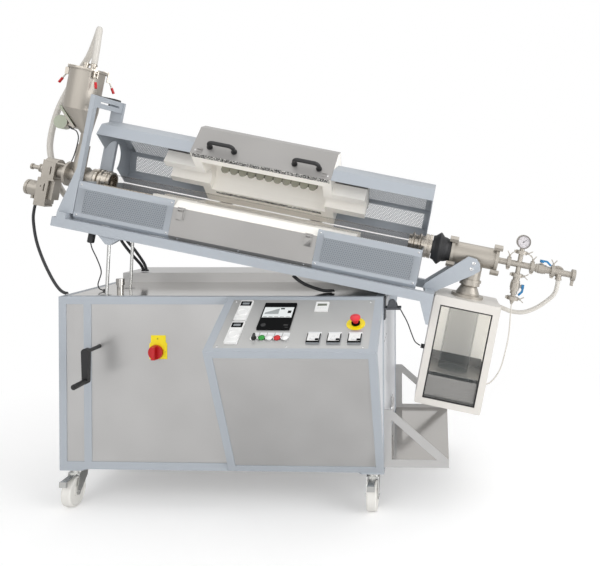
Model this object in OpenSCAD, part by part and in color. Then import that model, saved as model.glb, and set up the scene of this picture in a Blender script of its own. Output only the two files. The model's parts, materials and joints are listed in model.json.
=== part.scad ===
// Rotary tube furnace on a wheeled cabinet: a tilting frame carries the split furnace,
// its rotating glass tube, the feeder on the left and the collecting box on the right.
// Millimetres, +Z up, +X along the machine, -Y towards the operator.

/* [Cabinet] */
// Width of the cabinet
cab_w = 1380; // [1300:10:1500]
// Depth of the cabinet
cab_d = 745; // [700:5:850]
// Height of the cabinet's top edge over the floor
cab_top = 894; // [880:2:930]
// Width of the square frame tubes
tube = 32; // [28:1:36]
// Thickness of the sheet metal
sheet = 2; // [1.5:0.5:3]
// Width of the narrow service panel at the left
strip_w = 76; // [60:2:100]
// Depth of the matt ledge in front of the polished table top
ledge_d = 137; // [125:1:150]

/* [Console] */
// Width of the console
console_w = 653; // [640:1:720]
// How far the console's nose stands out
nose_reach = 300; // [280:5:330]
// Height of the console's nose over the floor
nose_z = 735; // [715:5:755]

/* [Casters and shelf] */
// Height of a caster with its mounting plate
caster_h = 156; // [150:1:165]
// Diameter of the wheels
wheel_d = 125; // [110:1:130]
// Width of the wheels
wheel_w = 42; // [36:1:46]
// Distance from the swivel axis to the wheel axle
caster_trail = 38; // [30:1:42]
// How far the side shelf stands out
shelf_reach = 270; // [200:5:300]
// Height of the shelf's wall posts
shelf_post_h = 240; // [200:5:280]

/* [Tilting frame] */
// Tilt of the furnace frame, in degrees
tilt = 11.5; // [8:0.5:12]
// Height of the tilt axis over the floor
pivot_z = 867; // [865:1:872]
// How far the tilt axis stands out from the cabinet's right side
pivot_reach = 35; // [30:1:45]
// Width and height of the frame beams
beam = 40; // [36:1:44]
// Outer depth of the tilting frame
frame_d = 450; // [440:2:460]
// Radius of the tilt axis pins
pivot_r = 8; // [6:0.5:9]

/* [Furnace] */
// Length of the heated housing
furnace_l = 630; // [560:5:660]
// Depth of the heated housing
furnace_d = 400; // [390:1:410]
// Height of the front face below the joint plane
front_h = 153; // [146:1:158]
// Height of the lid's front face
lid_face_h = 141; // [130:1:150]
// Height of the covers' front face above the joint plane
cover_face_h = 57; // [45:1:70]
// Opening angle of the lid, in degrees
lid_angle = 31.5; // [20:0.5:36]
// Length of the left covers
cover_left_l = 425; // [380:5:428]
// Length of the right covers
cover_right_l = 450; // [400:5:455]

/* [Working tube] */
// Outer diameter of the working tube
tube_d = 76; // [60:1:78]
// Wall of the working tube
tube_wall = 3; // [2.5:0.5:4]
// Diameter of the heated muffle around the tube
muffle_d = 144; // [130:2:150]

/* [Feeder] */
// Outer diameter of the hopper
hopper_d = 150; // [130:2:156]
// Height of the hopper's straight wall
hopper_h = 184; // [160:2:200]
// Outer diameter of the feed barrel
barrel_d = 56; // [50:1:60]

/* [Discharge] */
// Outer diameter of the discharge tee
tee_d = 96; // [90:1:100]
// Width of the collecting box
box_w = 289; // [270:1:300]
// Depth of the collecting box with its door
box_d = 275; // [250:1:290]
// Height of the collecting box
box_h = 473; // [440:1:480]
// Diameter of the glass vessel in the box
bottle_d = 137; // [110:1:150]
// Outer diameter of the gas pipes
pipe_d = 28; // [24:1:30]

/* [Hidden] */
$fn = 48;

// Finishes
grey_coat = "#B9C0C8";
steel = "#B5B5B5";
cream = "#E6E1D8";
feeder_steel = "#B5AEA3";
black = "#202020";

// The origin lies under the middle of the whole machine
origin_x = 975;
origin_y = 222;

// Cabinet
plate_t = 7;                        // caster mounting plates
cab_low = caster_h + plate_t;       // underside of the frame
inset = 3;                          // panels lie this far inside the frame's face
post_x = tube + strip_w;            // left edge of the middle post
console_x = cab_w - console_w;      // left side of the console
slot_gap = 1;                       // gap between moving and fixed faces
screw_d = 8;

// Fascia: v runs up the slope from the nose
fascia_a = atan((cab_top - nose_z) / nose_reach);
fascia_l = norm([nose_reach, cab_top - nose_z]);
front_a = atan(nose_reach / (nose_z - cab_low));
front_l = norm([nose_reach, nose_z - cab_low]);
rim = 20;                           // narrow rims above and below the fascia plate
fascia_lift = -1;                   // the plate's face lies this far under the frame's face

// Tilting frame, in its own axes: u along the tube, y across, w upright
pivot_x = cab_w + pivot_reach;
frame_y = 20;                       // front of the front beam
beam_w = 30;                        // underside of the beams over the tilt axis
deck_w = beam_w + beam;             // top of the beams
frame_u0 = -1498;
frame_u1 = 165;
split_w = deck_w + front_h + 17;    // joint plane of the furnace
half_gap = 0.5;                     // half of the gap in the joint plane
axis_y = frame_y + frame_d / 2;     // axis of the working tube
axis_w = split_w + 6;
furnace_u1 = -368;
furnace_u0 = furnace_u1 - furnace_l;
front_y = axis_y - furnace_d / 2;
back_y = axis_y + furnace_d / 2;
low_chamfer = 17;
lid_chamfer = 35;
lid_top = split_w + lid_face_h + lid_chamfer;
cover_chamfer = 73;
cover_inset = 2;                    // the covers lie this far behind the housing's faces
joint_gap = 0.3;                     // between the housing and the covers
left_u0 = furnace_u0 - joint_gap - cover_left_l;
right_u1 = furnace_u1 + joint_gap + cover_right_l;
knuckle_r = 6;
hinge_pin_r = 3;
leaf_t = 2;
hinge_y = back_y + knuckle_r;
hinge_w = split_w;
run_gap = 0.05;                     // radial gap of pins and shafts that turn

// Lift rods
rod_u = -1244;
rod_w = 4;
rod_y = [46, 262];
rod_r = 7;
rod_l = 300;
rod_lean = 3.2;
rod_pin_r = 4;
lift_beam_u = [-1264, -1204];       // cross member over the lift rods

// Feeder and discharge stations along the tube axis
portal_u = [-1480, -1440];
hopper_u = -1592;
hopper_w = 545;                     // bottom of the hopper's straight wall
outlet_u = -1545;
outlet_w = 440;
outlet_r = 22;
tee_u = [204, 418];
branch_u = 316;
box_u = 172;
box_y = 107;
box_top = 58;                       // top of the collecting box
cross_u = 517;                      // gas cross
pipe_r = pipe_d / 2;

module at_origin() translate([-origin_x, -origin_y, 0]) children();
module tilted() at_origin() translate([pivot_x, 0, pivot_z]) rotate([0, tilt, 0]) children();
module opened() tilted() translate([0, hinge_y, hinge_w]) rotate([-lid_angle, 0, 0])
    translate([0, -hinge_y, -hinge_w]) children();
module on_fascia(x, v) at_origin() translate([console_x, -nose_reach, nose_z])
    rotate([fascia_a, 0, 0]) translate([x, v, fascia_lift]) children();
// Extrudes an outline drawn in y and w from u0 to u1
module along_u(u0, u1) translate([u0, 0, 0]) rotate([90, 0, 90]) linear_extrude(u1 - u0) children();
// Extrudes an outline drawn in u and w from y0 to y1
module along_y(y0, y1) translate([0, y1, 0]) rotate([90, 0, 0]) linear_extrude(y1 - y0) children();
// Round bar along each axis
module bar_u(u0, u1, y, w, r) translate([u0, y, w]) rotate([0, 90, 0]) cylinder(r = r, h = u1 - u0);
module bar_y(u, y0, y1, w, r) translate([u, y1, w]) rotate([90, 0, 0]) cylinder(r = r, h = y1 - y0);
module bar_w(u, y, w0, w1, r) translate([u, y, w0]) cylinder(r = r, h = w1 - w0);
module block(a, b) translate(a) cube(b - a);
module pipe_u(u0, u1, y, w, r, bore) difference() {
    bar_u(u0, u1, y, w, r);
    bar_u(u0 - 1, u1 + 1, y, w, bore);
}

// ---------------------------------------------------------------- cords
function unit(v) = v / norm(v);
function spline(p, i, t) = let (a = p[max(i - 1, 0)], b = p[i], c = p[i + 1], d = p[min(i + 2, len(p) - 1)])
    0.5 * (2 * b + (c - a) * t + (2 * a - 5 * b + 4 * c - d) * t * t + (3 * b - a - 3 * c + d) * t * t * t);
function smooth(p, n) =
    concat([for (i = [0:len(p) - 2], k = [0:n - 1]) spline(p, i, k / n)], [p[len(p) - 1]]);
function tangents(p) = [for (i = [0:len(p) - 1]) unit(p[min(i + 1, len(p) - 1)] - p[max(i - 1, 0)])];
function normals(t, i, n) = let (m = unit(n - (n * t[i]) * t[i]))
    i == len(t) - 1 ? [m] : concat([m], normals(t, i + 1, m));
// One closed tube swept along the points
module cord(p, d, sides = 8) {
    t = tangents(p);
    side = abs(t[0][2]) < 0.9 ? [0, 0, 1] : [0, 1, 0];
    n = normals(t, 0, side);
    last = (len(p) - 1) * sides;
    polyhedron(
        points = [for (i = [0:len(p) - 1], k = [0:sides - 1])
            p[i] + d / 2 * (cos(360 * k / sides) * n[i] + sin(360 * k / sides) * cross(t[i], n[i]))],
        faces = concat(
            [[for (k = [0:sides - 1]) k]],
            [[for (k = [sides - 1:-1:0]) last + k]],
            [for (i = [0:len(p) - 2], k = [0:sides - 1])
                [i * sides + k, (i + 1) * sides + k, i * sides + (k + 1) % sides]],
            [for (i = [0:len(p) - 2], k = [0:sides - 1])
                [i * sides + (k + 1) % sides, (i + 1) * sides + k, (i + 1) * sides + (k + 1) % sides]]));
}

// ---------------------------------------------------------------- cabinet
// Side view of the console: top edge, nose, bottom edge
seam = 0.2;                         // seam between the console's frame and the cabinet's
slope_up = tan(fascia_a);
slope_down = 1 / tan(front_a);
wedge = [[-seam, cab_top - seam * slope_up], [-nose_reach, nose_z], [-seam, cab_low + seam * slope_down]];
inner_nose_y = (cab_low - cab_top + tube / sin(front_a) + tube / cos(fascia_a)) / (slope_up + slope_down);
inner_nose_z = cab_top + slope_up * inner_nose_y - tube / cos(fascia_a);
wedge_hole = [
    [1, cab_top + slope_up - tube / cos(fascia_a)],
    [inner_nose_y, inner_nose_z],
    [1, cab_low - slope_down + tube / sin(front_a)]
];

module on_front(x, v) translate([console_x, -nose_reach, nose_z]) rotate([front_a, 0, 0])
    translate([x, 0, -v]) children();

module console_frame() {
    for (x = [console_x, cab_w - tube]) along_u(x, x + tube) difference() {
        polygon(wedge);
        polygon(wedge_hole);
    }
    // bars between the two rings, around the fascia and the front panel
    along_u(console_x + tube - 0.01, cab_w - tube + 0.01) difference() {
        polygon(wedge);
        polygon(wedge_hole);
        translate([-nose_reach, nose_z]) rotate(fascia_a) translate([rim, -tube - 1])
            square([fascia_l - 2 * rim, tube + 2]);
        translate([-nose_reach, nose_z]) rotate(front_a - 90) translate([tube, -1])
            square([front_l - 2 * tube, tube + 2]);
    }
}

module cabinet_frame() color(grey_coat) at_origin() {
    for (x = [0, cab_w - tube], y = [0, cab_d - tube]) block([x, y, cab_low], [x + tube, y + tube, cab_top]);
    block([post_x, 0, cab_low], [post_x + tube, tube, cab_top]);
    for (z = [cab_low, cab_top - tube]) {
        for (y = [0, cab_d - tube]) block([0, y, z], [cab_w, y + tube, z + tube]);
        for (x = [0, cab_w - tube]) block([x, 0, z], [x + tube, cab_d, z + tube]);
    }
    console_frame();
    // chamfered caster plates under the corners
    for (x = [0, 1], y = [0, 1]) translate([x * cab_w, y * cab_d, caster_h])
        mirror([x, 0, 0]) mirror([0, y, 0]) linear_extrude(plate_t)
            polygon([[0, 0], [95, 0], [110, 15], [110, 95], [95, 110], [0, 110]]);
}

module panel_screw(x, z) translate([x, inset, z]) rotate([90, 0, 0]) cylinder(d = screw_d, h = 1.5);

module cabinet_panels() color(steel) at_origin() {
    z0 = cab_low + tube;
    z1 = cab_top - tube;
    block([tube, inset, z0], [post_x, inset + sheet, z1]);
    // front panel with a hole for the crank shaft
    difference() {
        block([post_x + tube, inset, z0], [console_x, inset + sheet, z1]);
        bar_y(crank_x, 0, 10, crank_z, crank_shaft_r + slot_gap);
    }
    // side and rear panels, and the floor
    block([inset, tube, z0], [inset + sheet, cab_d - tube, z1]);
    block([cab_w - inset - sheet, tube, z0], [cab_w - inset, cab_d - tube, z1]);
    block([tube, cab_d - inset - sheet, z0], [cab_w - tube, cab_d - inset, z1]);
    block([tube, tube, cab_low], [cab_w - tube, cab_d - tube, cab_low + sheet]);
    // console front and cheeks
    on_front(0, 0) block([tube, inset, -front_l + tube], [console_w - tube, inset + sheet, -tube]);
    for (x = [console_x + inset, cab_w - inset - sheet]) along_u(x, x + sheet)
        intersection() {
            polygon(wedge_hole);
            translate([-nose_reach, 0]) square([nose_reach, cab_top]);
        }
}

module console_fascia() color(steel) on_fascia(0, 0) difference() {
    block([tube, rim, -sheet], [console_w - tube, fascia_l - rim, 0]);
    translate([estop[0], estop[1], -sheet - 1]) cylinder(r = 11, h = sheet + 2);
    for (x = button_x) translate([x, button_v, -sheet - 1]) cylinder(r = 11, h = sheet + 2);
}

module table_top() color(steel) at_origin() {
    z0 = cab_top - sheet;
    rod_slot = [pivot_x - 1257, pivot_x - 1211];
    // matt ledge
    difference() {
        block([tube, tube, z0], [cab_w - tube, ledge_d, cab_top]);
        block([rod_slot[0], rod_y[0] - rod_r - 3, z0 - 1], [rod_slot[1], rod_y[0] + rod_r + 3, cab_top + 1]);
    }
    // polished top
    difference() {
        block([tube, ledge_d, z0], [cab_w - tube, cab_d - tube, cab_top]);
        block([rod_slot[0], rod_y[1] - rod_r - 3, z0 - 1], [rod_slot[1], rod_y[1] + rod_r + 3, cab_top + 1]);
    }
    // rest for the lowered frame, with a rubber cap
    bar_w(stop_x, stop_y, cab_top, cab_top + stop_h - 28, stop_r - 4);
    color(black) bar_w(stop_x, stop_y, cab_top + stop_h - 28, cab_top + stop_h, stop_r);
}
stop_x = pivot_x - 1223;
stop_y = 152;
stop_h = 58;
stop_r = 18.5;

module switchgear_box() color(steel) at_origin() difference() {
    block([42, 480, cab_top], [cab_w - 50, cab_d, cab_top + 46]);
    block([42 + sheet, 480 + sheet, cab_top - 1], [cab_w - 50 - sheet, cab_d - sheet, cab_top + 46 - sheet]);
}

module side_shelf() color(steel) at_origin() {
    shelf_z = 186;
    leg = 32;
    x1 = cab_w + shelf_reach;
    z1 = shelf_z + shelf_post_h;
    slope = atan((shelf_post_h - leg) / (shelf_reach - leg));
    drop = leg / cos(slope);
    for (y = [0, cab_d - 4]) along_y(y, y + 4) difference() {
        polygon([[cab_w, shelf_z], [x1, shelf_z], [x1, shelf_z + leg], [cab_w + leg, z1], [cab_w, z1]]);
        polygon([
            [cab_w + leg, shelf_z + leg],
            [x1 - drop / tan(slope), shelf_z + leg],
            [cab_w + leg, z1 - drop]
        ]);
    }
    block([cab_w, 4, shelf_z + 12], [x1, cab_d - 4, shelf_z + 12 + sheet]);
}

module pivot_bearings() color("#6F7377") at_origin() {
    for (y = [frame_y + beam / 2, frame_y + frame_d - beam / 2]) {
        block([cab_w, y - 30, pivot_z - 70], [cab_w + 6, y + 30, pivot_z + 22]);
        block([cab_w + 6, y - 30, pivot_z - 28], [pivot_x + 36, y + 30, pivot_z - 20]);
        for (side = [-1, 1]) difference() {
            union() {
                along_y(y + side * 19 - 5, y + side * 19 + 5) polygon([
                    [pivot_x - 22, pivot_z - 20], [pivot_x + 22, pivot_z - 20],
                    [pivot_x + 16, pivot_z], [pivot_x - 16, pivot_z]
                ]);
                bar_y(pivot_x, y + side * 19 - 5, y + side * 19 + 5, pivot_z, 16);
            }
        }
        bar_y(pivot_x, y - 30, y + 30, pivot_z, pivot_r);
    }
}

// ---------------------------------------------------------------- console items
button_x = [177, 207, 236.5, 266.5, 297];
button_v = 73;
estop = [558, 165];
meter_x = [380, 459, 538];
switch_x = 420;
switch_z = 661;
crank_x = 174;
crank_z = 684;
crank_shaft_r = 8;

module rounded_plate(size, h, r) linear_extrude(h) {
    translate([r, 0]) square([size[0] - 2 * r, size[1]]);
    translate([0, r]) square([size[0], size[1] - 2 * r]);
    for (x = [r, size[0] - r], y = [r, size[1] - r]) translate([x, y]) circle(r = r);
}

module controller() color(black) on_fascia(172, 126) {
    rounded_plate([131, 167], 6, 4);
    translate([6, 70, 6]) cube([119, 76, 1]);
}

module panel_instruments() {
    // two outlet sockets with flap lids
    for (v = [42, 179]) color("white") on_fascia(68, v) {
        rounded_plate([51, 106], 9, 4);
        translate([25.5, 46, 9]) cylinder(r = 21, h = 4);
        color(black) translate([0, 110, 0]) cube([51, 16, 2]);
    }
    // hour counter
    color("white") on_fascia(381, 240) {
        rounded_plate([54, 62], 5, 3);
        color(black) translate([8, 34, 5]) cube([38, 14, 1]);
    }
    // three ammeters
    for (x = meter_x) color(black) on_fascia(x, 46) {
        rounded_plate([52, 54], 8, 2);
        color("white") translate([4, 10, 8]) cube([44, 40, 2]);
    }
}

module switch_plates() {
    // legend plates over the buttons
    for (x = button_x) color("#D8DADB") on_fascia(x - 13, button_v + 15) cube([26, 22, 1]);
    // chromed button bezels
    for (x = button_x) color("silver") on_fascia(x, button_v) difference() {
        cylinder(r = 14.5, h = 5);
        translate([0, 0, -1]) cylinder(r = 11, h = 7);
    }
    // emergency stop plate and collar
    color("yellow") on_fascia(estop[0], estop[1]) difference() {
        cylinder(r = 37, h = 2);
        translate([0, 0, -1]) cylinder(r = 11, h = 4);
    }
    color(black) on_fascia(estop[0], estop[1]) translate([0, 0, 2]) difference() {
        cylinder(r = 17, h = 8);
        translate([0, 0, -1]) cylinder(r = 11, h = 10);
    }
    // plate of the main switch
    color("yellow") at_origin() along_y(inset - 2, inset) difference() {
        polygon([[390, 631], [466, 631], [466, 696], [460, 702], [460, 731],
            [397, 731], [397, 702], [390, 696]]);
        translate([switch_x, switch_z]) circle(r = 12);
    }
}

module switch_knob() color("#B3141B") at_origin() {
    bar_y(switch_x, inset - 16, inset - 2.5, switch_z, 30);
    block([switch_x - 8, inset - 38, switch_z - 27], [switch_x + 8, inset - 16, switch_z + 27]);
    bar_y(switch_x, inset - 2.5, inset, switch_z, 8);
}

module estop_button() color("#D01F28") on_fascia(estop[0], estop[1]) {
    translate([0, 0, -6]) cylinder(r = 10.7, h = 36);
    translate([0, 0, 18]) cylinder(r1 = 14, r2 = 20, h = 10);
    translate([0, 0, 28]) intersection() {
        cylinder(r = 20, h = 14);
        translate([0, 0, -26]) sphere(r = 38);
    }
}

module push_button(x, tint) color(tint) on_fascia(x, button_v) translate([0, 0, -6]) {
    cylinder(r = 10.7, h = 14);
}
module green_button() push_button(button_x[1], "green");
module white_button_left() push_button(button_x[2], "white");
module red_button() push_button(button_x[3], "red");
module white_button_right() push_button(button_x[4], "white");
module selector_knob() color(black) on_fascia(button_x[0], button_v) translate([0, 0, -6]) {
    cylinder(r = 10.7, h = 14);
    translate([-4, -13, 14]) cube([8, 26, 12]);
}

module crank_arm() color(black) at_origin() {
    bar_y(crank_x, -100, 30, crank_z, crank_shaft_r);
    // the arm hangs down from the shaft, with round ends
    along_y(-114, -90) {
        translate([crank_x, crank_z]) circle(r = 15);
        translate([crank_x, crank_z - 118]) circle(r = 12);
        polygon([
            [crank_x - 15, crank_z], [crank_x + 15, crank_z],
            [crank_x + 12, crank_z - 118], [crank_x - 12, crank_z - 118]
        ]);
    }
    bar_y(crank_x, -196, -114, crank_z - 118, 5);
}

module crank_grip() color(black) at_origin() difference() {
    bar_y(crank_x, -194, -116, crank_z - 118, 11);
    bar_y(crank_x, -200, -110, crank_z - 118, 5 + run_gap);
}

// ---------------------------------------------------------------- casters
caster_x = [50, cab_w - 50];
caster_y = [55, cab_d - 50];
axle_r = 6;

module caster_wheel(x, y) color("white") at_origin() {
    translate([x - wheel_w / 2, y, wheel_d / 2]) rotate([0, 90, 0]) rotate_extrude() polygon([
        [axle_r + run_gap, 0], [22, 0], [22, 4], [wheel_d / 2 - 10, 4], [wheel_d / 2 - 6, 0],
        [wheel_d / 2 - 2, 1], [wheel_d / 2, 6], [wheel_d / 2, wheel_w - 6], [wheel_d / 2 - 2, wheel_w - 1],
        [wheel_d / 2 - 6, wheel_w], [wheel_d / 2 - 10, wheel_w - 4], [22, wheel_w - 4], [22, wheel_w],
        [axle_r + run_gap, wheel_w]
    ]);
}

// Fork of one caster, drawn from its swivel axis; trail points to the wheel axle
module caster_fork(x, y, trail) at_origin() {
    cheek = wheel_w / 2 + 1;
    top = caster_h - 18;
    bar_w(x, y, top, caster_h - 0.3, 30);
    block([x - cheek - 4, y - 34, top - 5], [x + cheek + 4, y + 34, top]);
    for (side = [-1, 1]) translate([x + side * (cheek + 2), 0, 0]) along_u(-2, 2) polygon([
        [y - 34, top], [y + 34, top], [y + 30, top - 30],
        [y + trail + 14, wheel_d / 2 - 4], [y + trail + 8, wheel_d / 2 - 14],
        [y + trail - 8, wheel_d / 2 - 14], [y + trail - 16, wheel_d / 2 + 2], [y - 40, top - 30]
    ]);
    bar_u(x - cheek - 8, x + cheek + 8, y + trail, wheel_d / 2, axle_r);
    // brake pedal over the wheel
    block([x - 14, y - 112, top - 9], [x + 14, y - 30, top - 5]);
    block([x - 16, y - 118, top - 28], [x + 16, y - 110, top - 5]);
}

module caster_fork_left() color("silver") caster_fork(caster_x[0], caster_y[0], -caster_trail);
module caster_fork_right() color("silver") caster_fork(caster_x[1], caster_y[0], -caster_trail);
module rear_caster_forks() color("silver") for (x = caster_x) at_origin() {
    cheek = wheel_w / 2 + 1;
    block([x - 40, caster_y[1] - 40, caster_h - 5], [x + 40, caster_y[1] + 40, caster_h]);
    for (side = [-1, 1]) translate([x + side * (cheek + 2), 0, 0]) along_u(-2, 2) polygon([
        [caster_y[1] - 36, caster_h - 5], [caster_y[1] + 36, caster_h - 5],
        [caster_y[1] + 12, wheel_d / 2 - 6], [caster_y[1] + 6, wheel_d / 2 - 14],
        [caster_y[1] - 6, wheel_d / 2 - 14], [caster_y[1] - 12, wheel_d / 2 - 6]
    ]);
    bar_u(x - cheek - 8, x + cheek + 8, caster_y[1], wheel_d / 2, axle_r);
}
module front_wheel_left() caster_wheel(caster_x[0], caster_y[0] - caster_trail);
module front_wheel_right() caster_wheel(caster_x[1], caster_y[0] - caster_trail);
module rear_wheel_left() caster_wheel(caster_x[0], caster_y[1]);
module rear_wheel_right() caster_wheel(caster_x[1], caster_y[1]);

// ---------------------------------------------------------------- tilting frame
module tilt_frame() color(grey_coat) tilted() difference() {
    union() {
        for (y = [frame_y, frame_y + frame_d - beam])
            block([frame_u0, y, beam_w], [frame_u1, y + beam, deck_w]);
        for (u = [portal_u, lift_beam_u, [furnace_u0 - 20, furnace_u0 + 20],
                [furnace_u1 - 20, furnace_u1 + 20], [frame_u1 - 40, frame_u1]])
            block([u[0], frame_y, beam_w], [u[1], frame_y + frame_d, deck_w]);
        // lugs on the tilt axis
        for (y = [frame_y + beam / 2, frame_y + frame_d - beam / 2]) {
            block([-16, y - 12, 0], [16, y + 12, beam_w]);
            bar_y(0, y - 12, y + 12, 0, 16);
        }
        // forked brackets and pins of the lift rods
        for (y = rod_y) {
            for (side = [-1, 1]) along_y(y + side * 11 - 3, y + side * 11 + 3) polygon([
                [rod_u - 50, beam_w], [rod_u + 50, beam_w], [rod_u + 10, rod_w - 8], [rod_u - 10, rod_w - 8]
            ]);
            bar_y(rod_u, y - 14, y + 14, rod_w, rod_pin_r);
        }
        // arms that carry the discharge tee
        for (y = arm_y) along_y(y, y + 10) {
            polygon([[112, deck_w], [126, deck_w - 5], [158, 50], [190, 78], [322, 168], [346, 190],
                [340, 218], [322, 238], [284, 242], [120, 90]]);
        }
        // gussets under the beam ends
        for (y = [frame_y, frame_y + frame_d - 4]) along_y(y, y + 4)
            polygon([[112, beam_w], [165, beam_w], [165, -60], [154, -60]]);
    }
    for (y = [frame_y + beam / 2, frame_y + frame_d - beam / 2])
        bar_y(0, y - 13, y + 13, 0, pivot_r + run_gap);
}
arm_y = [axis_y - tee_d / 2 - 34, axis_y + tee_d / 2 + 24];

module lift_rods() color("silver") tilted() for (y = rod_y) difference() {
    union() {
        translate([rod_u, y, rod_w]) rotate([0, rod_lean - tilt, 0]) bar_w(0, 0, -rod_l, 0, rod_r);
        bar_y(rod_u, y - 7.5, y + 7.5, rod_w, 9);
    }
    bar_y(rod_u, y - 8, y + 8, rod_w, rod_pin_r + run_gap);
}

portal_y = [45, 320];
portal_top = 615;
post_u = -1444.5;                   // left edge of the upright front post
post_bend = 294;                    // the post flares below this height
module feed_portal() color(grey_coat) tilted() {
    foot = deck_w + 25;
    block([portal_u[0], frame_y, deck_w], [portal_u[1], frame_y + frame_d, foot]);
    // front post with its flared foot, plain rear post and the slotted yoke between them
    along_y(portal_y[0], portal_y[0] + 30) polygon([
        [-1494, foot - 1], [left_u0 - 2, foot - 1], [left_u0 - 2, portal_top],
        [post_u, portal_top], [post_u, post_bend]
    ]);
    block([portal_u[0], portal_y[1] - 20, foot - 1], [left_u0 - 2, portal_y[1], portal_top]);
    difference() {
        block([post_u, portal_y[0] + 29, portal_top - 50], [post_u + 16, portal_y[1] - 19, portal_top]);
        block([post_u - 1, portal_y[0] + 60, portal_top - 29],
            [post_u + 17, portal_y[1] - 50, portal_top - 21]);
    }
    // bracket to the hopper with its upright plate and bolts
    color(black) difference() {
        union() {
            block([hopper_u + 20, axis_y - 30, portal_top], [post_u + 16, axis_y + 30, portal_top + 8]);
            block([post_u - 6, axis_y - 30, portal_top - 46], [post_u, axis_y + 30, portal_top + 1]);
            for (y = [axis_y - 18, axis_y + 18]) bar_u(post_u - 12, post_u - 5, y, portal_top - 25, 6);
        }
        bar_w(hopper_u, axis_y, portal_top - 1, portal_top + 9, hopper_d / 2 + 0.3);
    }
}

// ---------------------------------------------------------------- furnace
// Open sheet profile between y0 and y1 from the joint plane at w0 to w1, with chamfered far corners
function tray(y0, y1, w0, w1, c) = let (s = sign(w1 - w0)) [
    [y0, w0], [y0, w1 - s * c], [y0 + c, w1], [y1 - c, w1], [y1, w1 - s * c], [y1, w0]
];
module tray_shell(y0, y1, w0, w1, c, t) {
    s = sign(w1 - w0);
    k = t * tan(22.5);
    difference() {
        polygon(tray(y0, y1, w0, w1, c));
        polygon(tray(y0 + t, y1 - t, w0 - s, w1 - s * t, c + k - t));
    }
}

hinge_l = 60;
// Knuckles on the rear: the outer thirds stay with the lower half, the middle third with the lid
module hinge_low(u) {
    for (k = [0, 2]) {
        u0 = u + k * hinge_l / 3 + 0.25;
        u1 = u + (k + 1) * hinge_l / 3 - 0.25;
        bar_u(u0, u1, hinge_y, hinge_w, knuckle_r);
        block([u0, back_y - 1, hinge_w - 12], [u1, back_y + leaf_t, hinge_w - half_gap]);
    }
    block([u, back_y - 1, hinge_w - 26], [u + hinge_l, back_y + leaf_t, hinge_w - 10]);
    bar_u(u + 1, u + hinge_l - 1, hinge_y, hinge_w, hinge_pin_r);
}
module hinge_high(u) difference() {
    u0 = u + hinge_l / 3 + 0.25;
    u1 = u + 2 * hinge_l / 3 - 0.25;
    union() {
        bar_u(u0, u1, hinge_y, hinge_w, knuckle_r);
        block([u0, back_y - 1, hinge_w + half_gap], [u1, back_y + leaf_t, hinge_w + 12]);
        block([u, back_y - 1, hinge_w + 10], [u + hinge_l, back_y + leaf_t, hinge_w + 26]);
    }
    bar_u(u, u + hinge_l, hinge_y, hinge_w, hinge_pin_r + run_gap);
}

// Toggle latches on the front of the lower half, with their keepers on the lid's lip
latch_u = [furnace_u0 + 36, furnace_u1 - 34];
module latch(u) {
    w = split_w - 54;
    block([u - 17, front_y - 3, w - 28], [u + 17, front_y + 1, w + 28]);
    block([u - 13, front_y - 12, w - 22], [u + 13, front_y - 2, w + 10]);
    bar_u(u - 13, u + 13, front_y - 9, w + 18, 4);
    for (side = [-11, 11])
        block([u + side - 2, front_y - 11, w + 8], [u + side + 2, front_y - 6, w + 20]);
}
module keeper(u) {
    block([u - 12, front_y - 3, split_w + 10], [u + 12, front_y + 1, split_w + 32]);
    block([u - 9, front_y - 9, split_w + 22], [u + 9, front_y - 2, split_w + 28]);
}

module lower_housing() color(steel) tilted() {
    along_u(furnace_u0, furnace_u1)
        tray_shell(front_y, back_y, split_w - half_gap, deck_w, low_chamfer, sheet);
    for (u = [furnace_u0 + 60, furnace_u1 - 60 - hinge_l]) hinge_low(u);
    for (u = latch_u) latch(u);
}

module upper_housing() color(steel) opened() {
    along_u(furnace_u0, furnace_u1)
        tray_shell(front_y, back_y, split_w + half_gap, lid_top, lid_chamfer, sheet);
    for (u = [furnace_u0 + 60, furnace_u1 - 60 - hinge_l]) hinge_high(u);
    for (u = latch_u) keeper(u);
}

module cover_pair(w0, w1, c, r) {
    y0 = front_y + cover_inset;
    y1 = back_y - cover_inset;
    s = sign(w1 - w0);
    g = sheet + joint_gap;
    for (u = [[left_u0, furnace_u0 - joint_gap], [furnace_u1 + joint_gap, right_u1]])
        along_u(u[0], u[1]) tray_shell(y0, y1, w0, w1, c, sheet);
    // end plates with half-round cut-outs, let into the shells
    for (u = [left_u0, right_u1 - sheet]) difference() {
        along_u(u, u + sheet) polygon(tray(y0 + g, y1 - g, w0, w1 - s * g, c + g * (tan(22.5) - 1)));
        bar_u(u - 1, u + sheet + 1, axis_y, axis_w, r);
    }
}
module lower_covers() color(grey_coat) tilted()
    cover_pair(split_w - half_gap, deck_w, low_chamfer, tube_d / 2 + 24);
module upper_covers() color(grey_coat) opened()
    cover_pair(split_w + half_gap, split_w + cover_face_h + cover_chamfer, cover_chamfer, tube_d / 2 + 42);

collar_l = 150;
collar_y = 82;
muffle_u = [furnace_u0 + 40, furnace_u1 - 40];      // length of the heated chamber
collar_gap = 0.3;
bore_r = tube_d / 2 + 5;
// Fibre collars that close the chamber's ends round the tube, between w0 and w1
module collars(w0, w1) for (u = [[furnace_u0 - collar_l, muffle_u[0]], [muffle_u[1], furnace_u1 + collar_l]])
    difference() {
        block([u[0], axis_y - collar_y, w0], [u[1], axis_y + collar_y, w1]);
        bar_u(u[0] - 1, u[1] + 1, axis_y, axis_w, bore_r);
    }
// The channels that the collars lie in
module collar_seats(w0, w1) for (u = [[furnace_u0 - 1, muffle_u[0] + 1], [muffle_u[1] - 1, furnace_u1 + 1]])
    block([u[0], axis_y - collar_y - collar_gap, w0], [u[1], axis_y + collar_y + collar_gap, w1]);

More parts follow.
